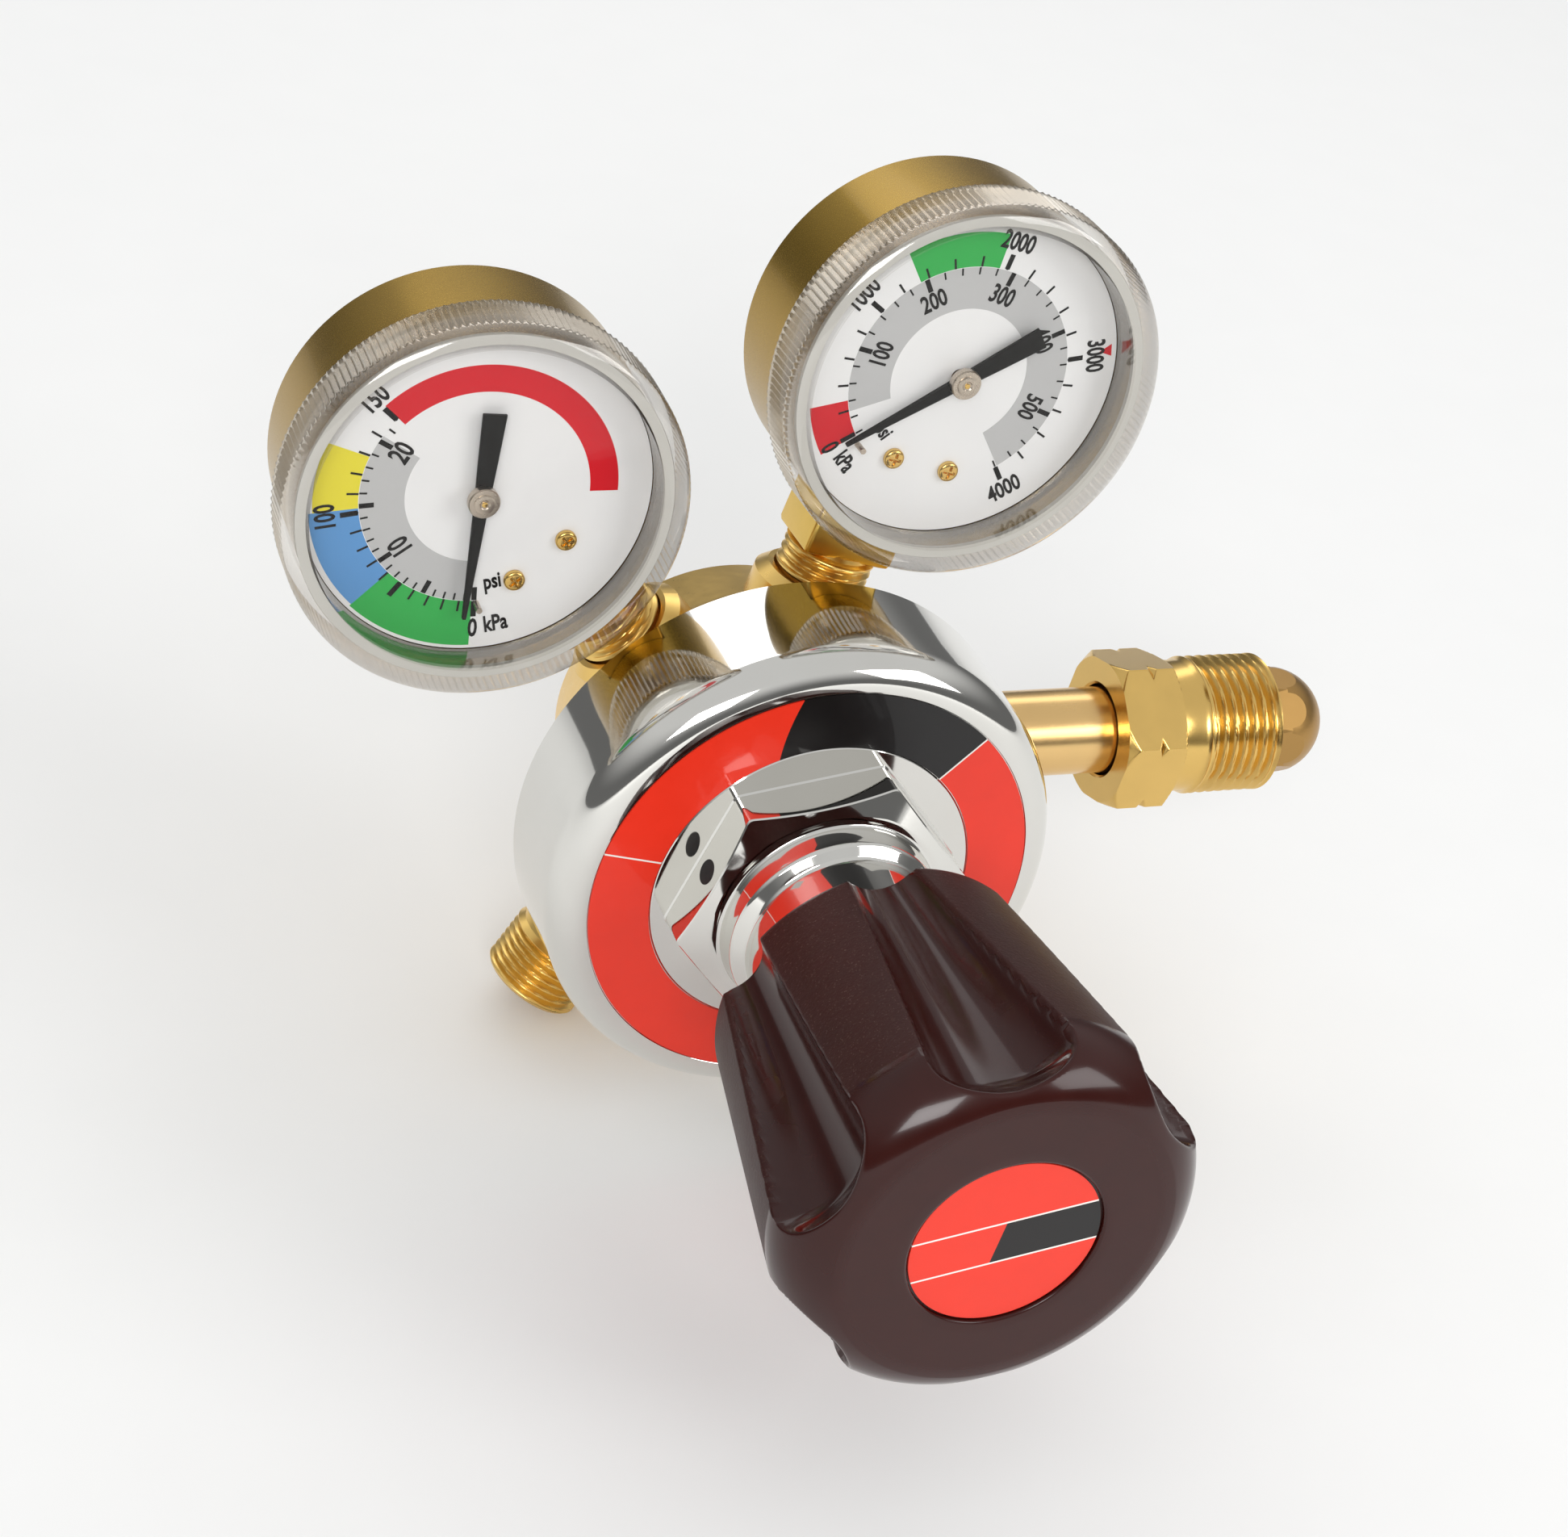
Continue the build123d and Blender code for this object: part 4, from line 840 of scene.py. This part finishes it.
def makeLens(prefix, place):
    shape = lensShape
    widest, back, front = measure(prefix + "_lens", place)
    seam, bore, foot = front - shape["seam"], shape["bore"], shape["collarFoot"]
    dome = np.linspace(0, shape["dome"], 16)
    rise = front - shape["rise"] * (dome / shape["dome"]) ** 2
    outline = [(radius, ahead, 0.0) for radius, ahead in zip(dome, rise)]
    outline += [(26.4, front - 1.02, 0.0), (27.6, front - 1.35, 0.15), (28.5, front - 2.0, 0.4),
                (widest - 0.12, front - 2.7, 0.8), (widest, front - 3.3, 1.0)]
    outline += [(widest, ahead, 1.0) for ahead in np.linspace(seam, back + 0.35, 6)]
    outline += [(widest - 0.3, back, 1.0), (bore + 0.3, back, 0.9), (bore, back + 0.3, 0.9),
                (bore, seam, 0.6), (shape["collarOuter"], seam, 0.3), (shape["collarOuter"], foot, 0.5),
                (shape["collarInner"], foot, 0.5), (shape["collarInner"], front - 3.2, 0.3),
                (25.1, front - 2.5, 0.0)]
    outline += [(radius, ahead - shape["thickness"], 0.0) for radius, ahead in zip(dome[::-1], rise[::-1])]
    outline = np.array(outline)
    steps = shape["ribs"] * 4
    turn = np.linspace(0, 2 * np.pi, steps, endpoint=False)
    ribbed = (outline[:, :1] > shape["ribRadius"]) & (outline[:, 1:2] < front - shape["ribStart"])
    radius = outline[:, :1] - shape["ribDepth"] * (0.5 - 0.5 * np.cos(turn * shape["ribs"])) * ribbed
    marks = np.broadcast_to(outline[:, 2:], radius.shape)
    skin(prefix + "_lens_shell", turned(radius, outline[:, 1], steps), place, clearPlastic, "root", smooth=40,
         replaces=(prefix + "_lens",), slot="clear_plastic", marks={"ribbed": marks})


# Pointer: a tapered blade whose rows step from tail to tip, each a six-point section; then the hub's discs.
pointerShape = {"tip": 19.3, "tail": 13.2, "under": 1.3, "over": 1.8, "restTurn": 225.0, "hub": 2.3,
                "pin": 0.42}


def makePointer(prefix, place):
    shape = pointerShape
    high = measure(prefix + "_pointer", place)[2]
    body = prefix + "_needle"
    under, over, hub, pin = (shape[key] for key in ("under", "over", "hub", "pin"))
    tail, tip = -shape["tail"], shape["tip"]
    stations = np.array([(tail, 1.7), (tail + 0.1, 1.72), (-6.0, 1.42), (0, 1.1), (8.0, 0.78),
                         (tip - 0.2, 0.32), (tip, 0.25)])
    section = np.array([(-1, under), (1, under), (1, over - 0.12), (0.8, over), (-0.8, over),
                        (-1, over - 0.12)])
    turn = math.radians(shape["restTurn"])
    reach = stations[:, :1]
    aside = stations[:, 1:] * section[None, :, 0]
    across = reach * math.sin(turn) + aside * math.cos(turn)
    up = reach * math.cos(turn) - aside * math.sin(turn)
    grid = np.stack(np.broadcast_arrays(across, up, section[None, :, 1]), -1)
    skin(prefix + "_blade", grid, place, pointerBlack, body, caps=True, smooth=25,
         replaces=(prefix + "_pointer",), slot="pointer_black")
    disc = [(0, over - 0.7), (1.7, over - 0.7), (hub - 0.05, over), (hub, over + 0.15), (hub, high - 0.4),
            (hub - 0.15, high - 0.2), (1.75, high - 0.16), (0, high - 0.16)]
    cap = [(0, high - 0.4), (1.5, high - 0.4), (1.5, high - 0.06), (1.35, high), (0.75, high),
           (0.6, high - 0.12), (0, high - 0.12)]
    peg = [(0, high - 0.4), (pin, high - 0.4), (pin, high - 0.06), (pin - 0.12, high - 0.02), (0, high - 0.02)]
    lathe(prefix + "_hub", disc, place, nickel, body, 72, slot="nickel")
    lathe(prefix + "_hub_cap", cap, place, nickel, body, 56, slot="nickel")
    lathe(prefix + "_hub_pin", peg, place, brassTurned, body, 32, slot="brass")


# Dial screws: a domed head with a cross recess, ahead = dome - depth where either arm passes.
screwShape = {"side": 4.7, "up": -14.4, "depth": 0.45, "arm": (0.13, 0.24), "armEnd": (0.8, 0.95),
              "columns": 96}


def makeScrews(prefix, place):
    shape = screwShape
    turn = np.linspace(0, 2 * np.pi, shape["columns"], endpoint=False)
    radius = np.array([0, 0.8, 0.8, 1.5, 1.55, 1.55, 1.45, 1.3, 1.15, 1.0, 0.85, 0.7, 0.55, 0.4, 0.25, 0.12,
                       0])
    dome = np.array([-4.6, -4.6, 0, 0, 0.06, 0.6, 0.78, 0.88, 0.93, 0.96, 0.98, 0.99, 1, 1, 1, 1, 1])
    radius, dome = radius[:, None], dome[:, None]
    arms = np.minimum(np.abs(radius * np.cos(turn)), np.abs(radius * np.sin(turn)))
    crossed = (1 - smoothStep(arms, *shape["arm"])) * (1 - smoothStep(radius, *shape["armEnd"]))
    ahead = dome - shape["depth"] * crossed * (dome > 0.7)
    grid = turned(np.broadcast_to(radius, ahead.shape), ahead, shape["columns"])
    for side in (-1, 1):
        spot = place.shifted(side * shape["side"], shape["up"], 0)
        name = prefix + ("_screw_left" if side < 0 else "_screw_right")
        skin(name, grid, spot, brassTurned, "root", smooth=40, replaces=(prefix + "_dial_screws",),
             slot="brass")


# Rounded rectangle: quarter arcs about the four corner centres, joined by straight sides.
def roundedLoop(halfWidth, near, far, radius, steps=6):
    quarter = np.linspace(0, np.pi / 2, steps)
    centres = [(halfWidth - radius, far - radius), (-halfWidth + radius, far - radius),
               (-halfWidth + radius, near + radius), (halfWidth - radius, near + radius)]
    arcs = []
    for number, (x, y) in enumerate(centres):
        turn = quarter + number * np.pi / 2
        arcs.append(np.stack([x + radius * np.cos(turn), y + radius * np.sin(turn)], -1))
    return np.concatenate(arcs)


# Gauge socket: a square block stacked from rounded rectangles, then the turned stem with its helical thread.
socketShape = {"width": 15.0, "front": 7.4, "deep": 19.0, "shallow": 18.0, "corner": 0.7, "top": -11.5,
               "step": -24.2, "waist": -30.0, "foot": -35.4, "stemBack": 13.6, "stemRadius": 7.2,
               "stemNeck": 6.4, "stemTip": 6.6, "pitch": 25.4 / 18, "depth": 0.75, "threadStart": -40.4,
               "threadTurns": 3.2, "columns": 192}


def makeSocket(prefix, place):
    shape = socketShape
    deep, shallow, step, top, foot = (shape[key] for key in ("deep", "shallow", "step", "top", "foot"))
    levels = [(0.7, foot, deep), (0.2, foot + 0.3, deep), (0.0, foot + 0.9, deep), (0.0, shape["waist"], deep),
              (0.0, step, deep), (0.0, step + 0.1, shallow), (0.0, top - 0.3, shallow), (0.3, top, shallow)]
    rows = []
    for inset, height, back in levels:
        flat = roundedLoop(shape["width"] / 2 - inset, shape["front"] + inset, back - inset, shape["corner"])
        rows.append(np.column_stack([flat, np.full(len(flat), height)]))
    skin(prefix + "_socket_block", rows, place, brassSocket, "root", caps=True, smooth=35,
         replaces=(prefix + "_socket",), slot="brass")
    stem = place.shifted(0, shape["stemBack"], 0)
    low = measure(prefix + "_socket", stem)[1]
    start, pitch, neck, tip = (shape[key] for key in ("threadStart", "pitch", "stemNeck", "stemTip"))
    end = start + shape["threadTurns"] * pitch
    radius, along = threaded(shape["stemRadius"], shape["depth"], pitch, start, end, shape["columns"])
    rows = [(0, low), (tip - 0.6, low), (tip, low + 0.6), (tip, start - 0.5)]
    rows += list(zip(radius, along))
    rows += [(neck, end + 0.2 * pitch), (neck, foot + 0.5), (0, foot + 0.5)]
    grid = turnedRows(rows, shape["columns"])
    skin(prefix + "_stem", grid, stem, brassStock, "root", smooth=36, slot="brass")


for prefix, printer in (("contents", contentsPrint), ("working", workingPrint)):
    dialPlace, stemPlace = gaugePlaces(prefix)
    printer(dialPlace)
    makeLens(prefix, dialPlace)
    makePointer(prefix, dialPlace)
    makeScrews(prefix, dialPlace)
    makeSocket(prefix, stemPlace)
    print(prefix, "gauge made")


cameraView = {"at": (-0.0802, -0.0080, 0.0016), "distance": 0.5, "azimuth": -25.437, "elevation": 33.468,
              "roll": 11.348, "lens": 73.6}
azimuth, elevation = math.radians(cameraView["azimuth"]), math.radians(cameraView["elevation"])
back = Vector((math.sin(azimuth) * math.cos(elevation), -math.cos(azimuth) * math.cos(elevation),
               math.sin(elevation)))
level = Vector((math.cos(azimuth), math.sin(azimuth), 0))
upright = back.cross(level)
roll = math.radians(cameraView["roll"])
sideways = level * math.cos(roll) + upright * math.sin(roll)
camera = bpy.data.objects.new("camera", bpy.data.cameras.new("camera"))
camera.data.lens = cameraView["lens"]
camera.data.clip_start = 0.01
camera.matrix_world = Matrix.Translation(Vector(cameraView["at"]) + back * cameraView["distance"]) @ Matrix(
    (sideways, back.cross(sideways), back)).transposed().to_4x4()
bpy.context.scene.collection.objects.link(camera)
bpy.context.scene.camera = camera


def softLight(name, spot, aim, size, power):
    light = bpy.data.lights.new(name, "AREA")
    light.shape, light.size, light.size_y, light.energy = "RECTANGLE", *size, power
    lamp = bpy.data.objects.new(name, light)
    lamp.location = spot
    lamp.rotation_euler = (Vector(aim) - Vector(spot)).to_track_quat("-Z", "Y").to_euler()
    bpy.context.scene.collection.objects.link(lamp)


middle = (Vector(cadBounds[0]) + Vector(cadBounds[1])) / 2
lamps = {"keyLight": ((-0.7, -1.6, 1.0), (0.9, 0.6), 17), "fillLight": ((1.3, -1.3, 0.9), (1.0, 0.8), 12),
         "backLight": ((0.15, 0.7, 0.6), (0.8, 0.3), 1.0)}      # metres from the middle, size, watts
for name, (offset, size, power) in lamps.items():
    softLight(name, middle + Vector(offset), middle, size, power)

skyLook = {"From Min": 0.10, "From Max": 0.62, "To Min": 0.16, "To Max": 0.72}
world = bpy.data.worlds.new("studio")       # bright overhead, darker towards the horizon
bpy.context.scene.world = world
world.use_nodes = True
sky = world.node_tree.nodes
links = world.node_tree.links
rise = sky.new("ShaderNodeSeparateXYZ")
spread = sky.new("ShaderNodeMapRange")
spread.interpolation_type = "SMOOTHSTEP"
for socket, value in skyLook.items():
    spread.inputs[socket].default_value = value
links.new(sky.new("ShaderNodeTexCoord").outputs["Generated"], rise.inputs[0])
links.new(rise.outputs["Z"], spread.inputs["Value"])
links.new(spread.outputs["Result"], sky["Background"].inputs["Strength"])
sky["Background"].inputs["Color"].default_value = (0.98, 0.985, 0.99, 1)
bpy.context.scene.view_settings.view_transform = "Standard"

bpy.ops.mesh.primitive_plane_add(size=6, location=(middle.x, middle.y, cadBounds[0][2]))
floor = bpy.context.object
floor.name = "floor"
floor.data.materials.append(plastic("floorPaper", rgb(250, 250, 249), 0.8, vary=0.01))
print("camera, lights and floor made")

# Finishes of the nodes that keep their own shape.
nodeFinish = {
    "regulator_body": brassStock, "bonnet_label": ringFinish(), "diaphragm": rubber, "slip_ring": steel,
    "diaphragm_plate": steel, "diaphragm_pusher": brassStock, "adjusting_spring": springSteel,
    "spring_button": steel, "adjusting_screw": steel, "knob_screw": steel, "knob_label": discFinish(),
    "seat_nozzle": brassStock, "valve_pin": steel, "valve_seat": seatPlastic, "valve_poppet": brassStock,
    "valve_spring": springSteel, "valve_cap": brassTurned, "valve_cap_seal": rubber, "inlet_tube": brassDrawn,
    "inlet_nipple": brassDark, "inlet_filter": bronze,
}
gaugeFinish = {"case": casePaint, "bourdon_tube": brassStock, "movement_frame": brassStock,
               "pinion_arbor": brassTurned, "sector_gear": brassStock, "tube_link": brassStock,
               "hairspring": brassDark, "dial": dialWhite, "stop_pin": nickel, "lens_gasket": paleRubber}
for prefix in ("contents", "working"):
    nodeFinish.update({prefix + "_" + name: finish for name, finish in gaugeFinish.items()})
for node, finish in nodeFinish.items():
    frame["nodes"][node].data.materials.clear()
    frame["nodes"][node].data.materials.append(finish)
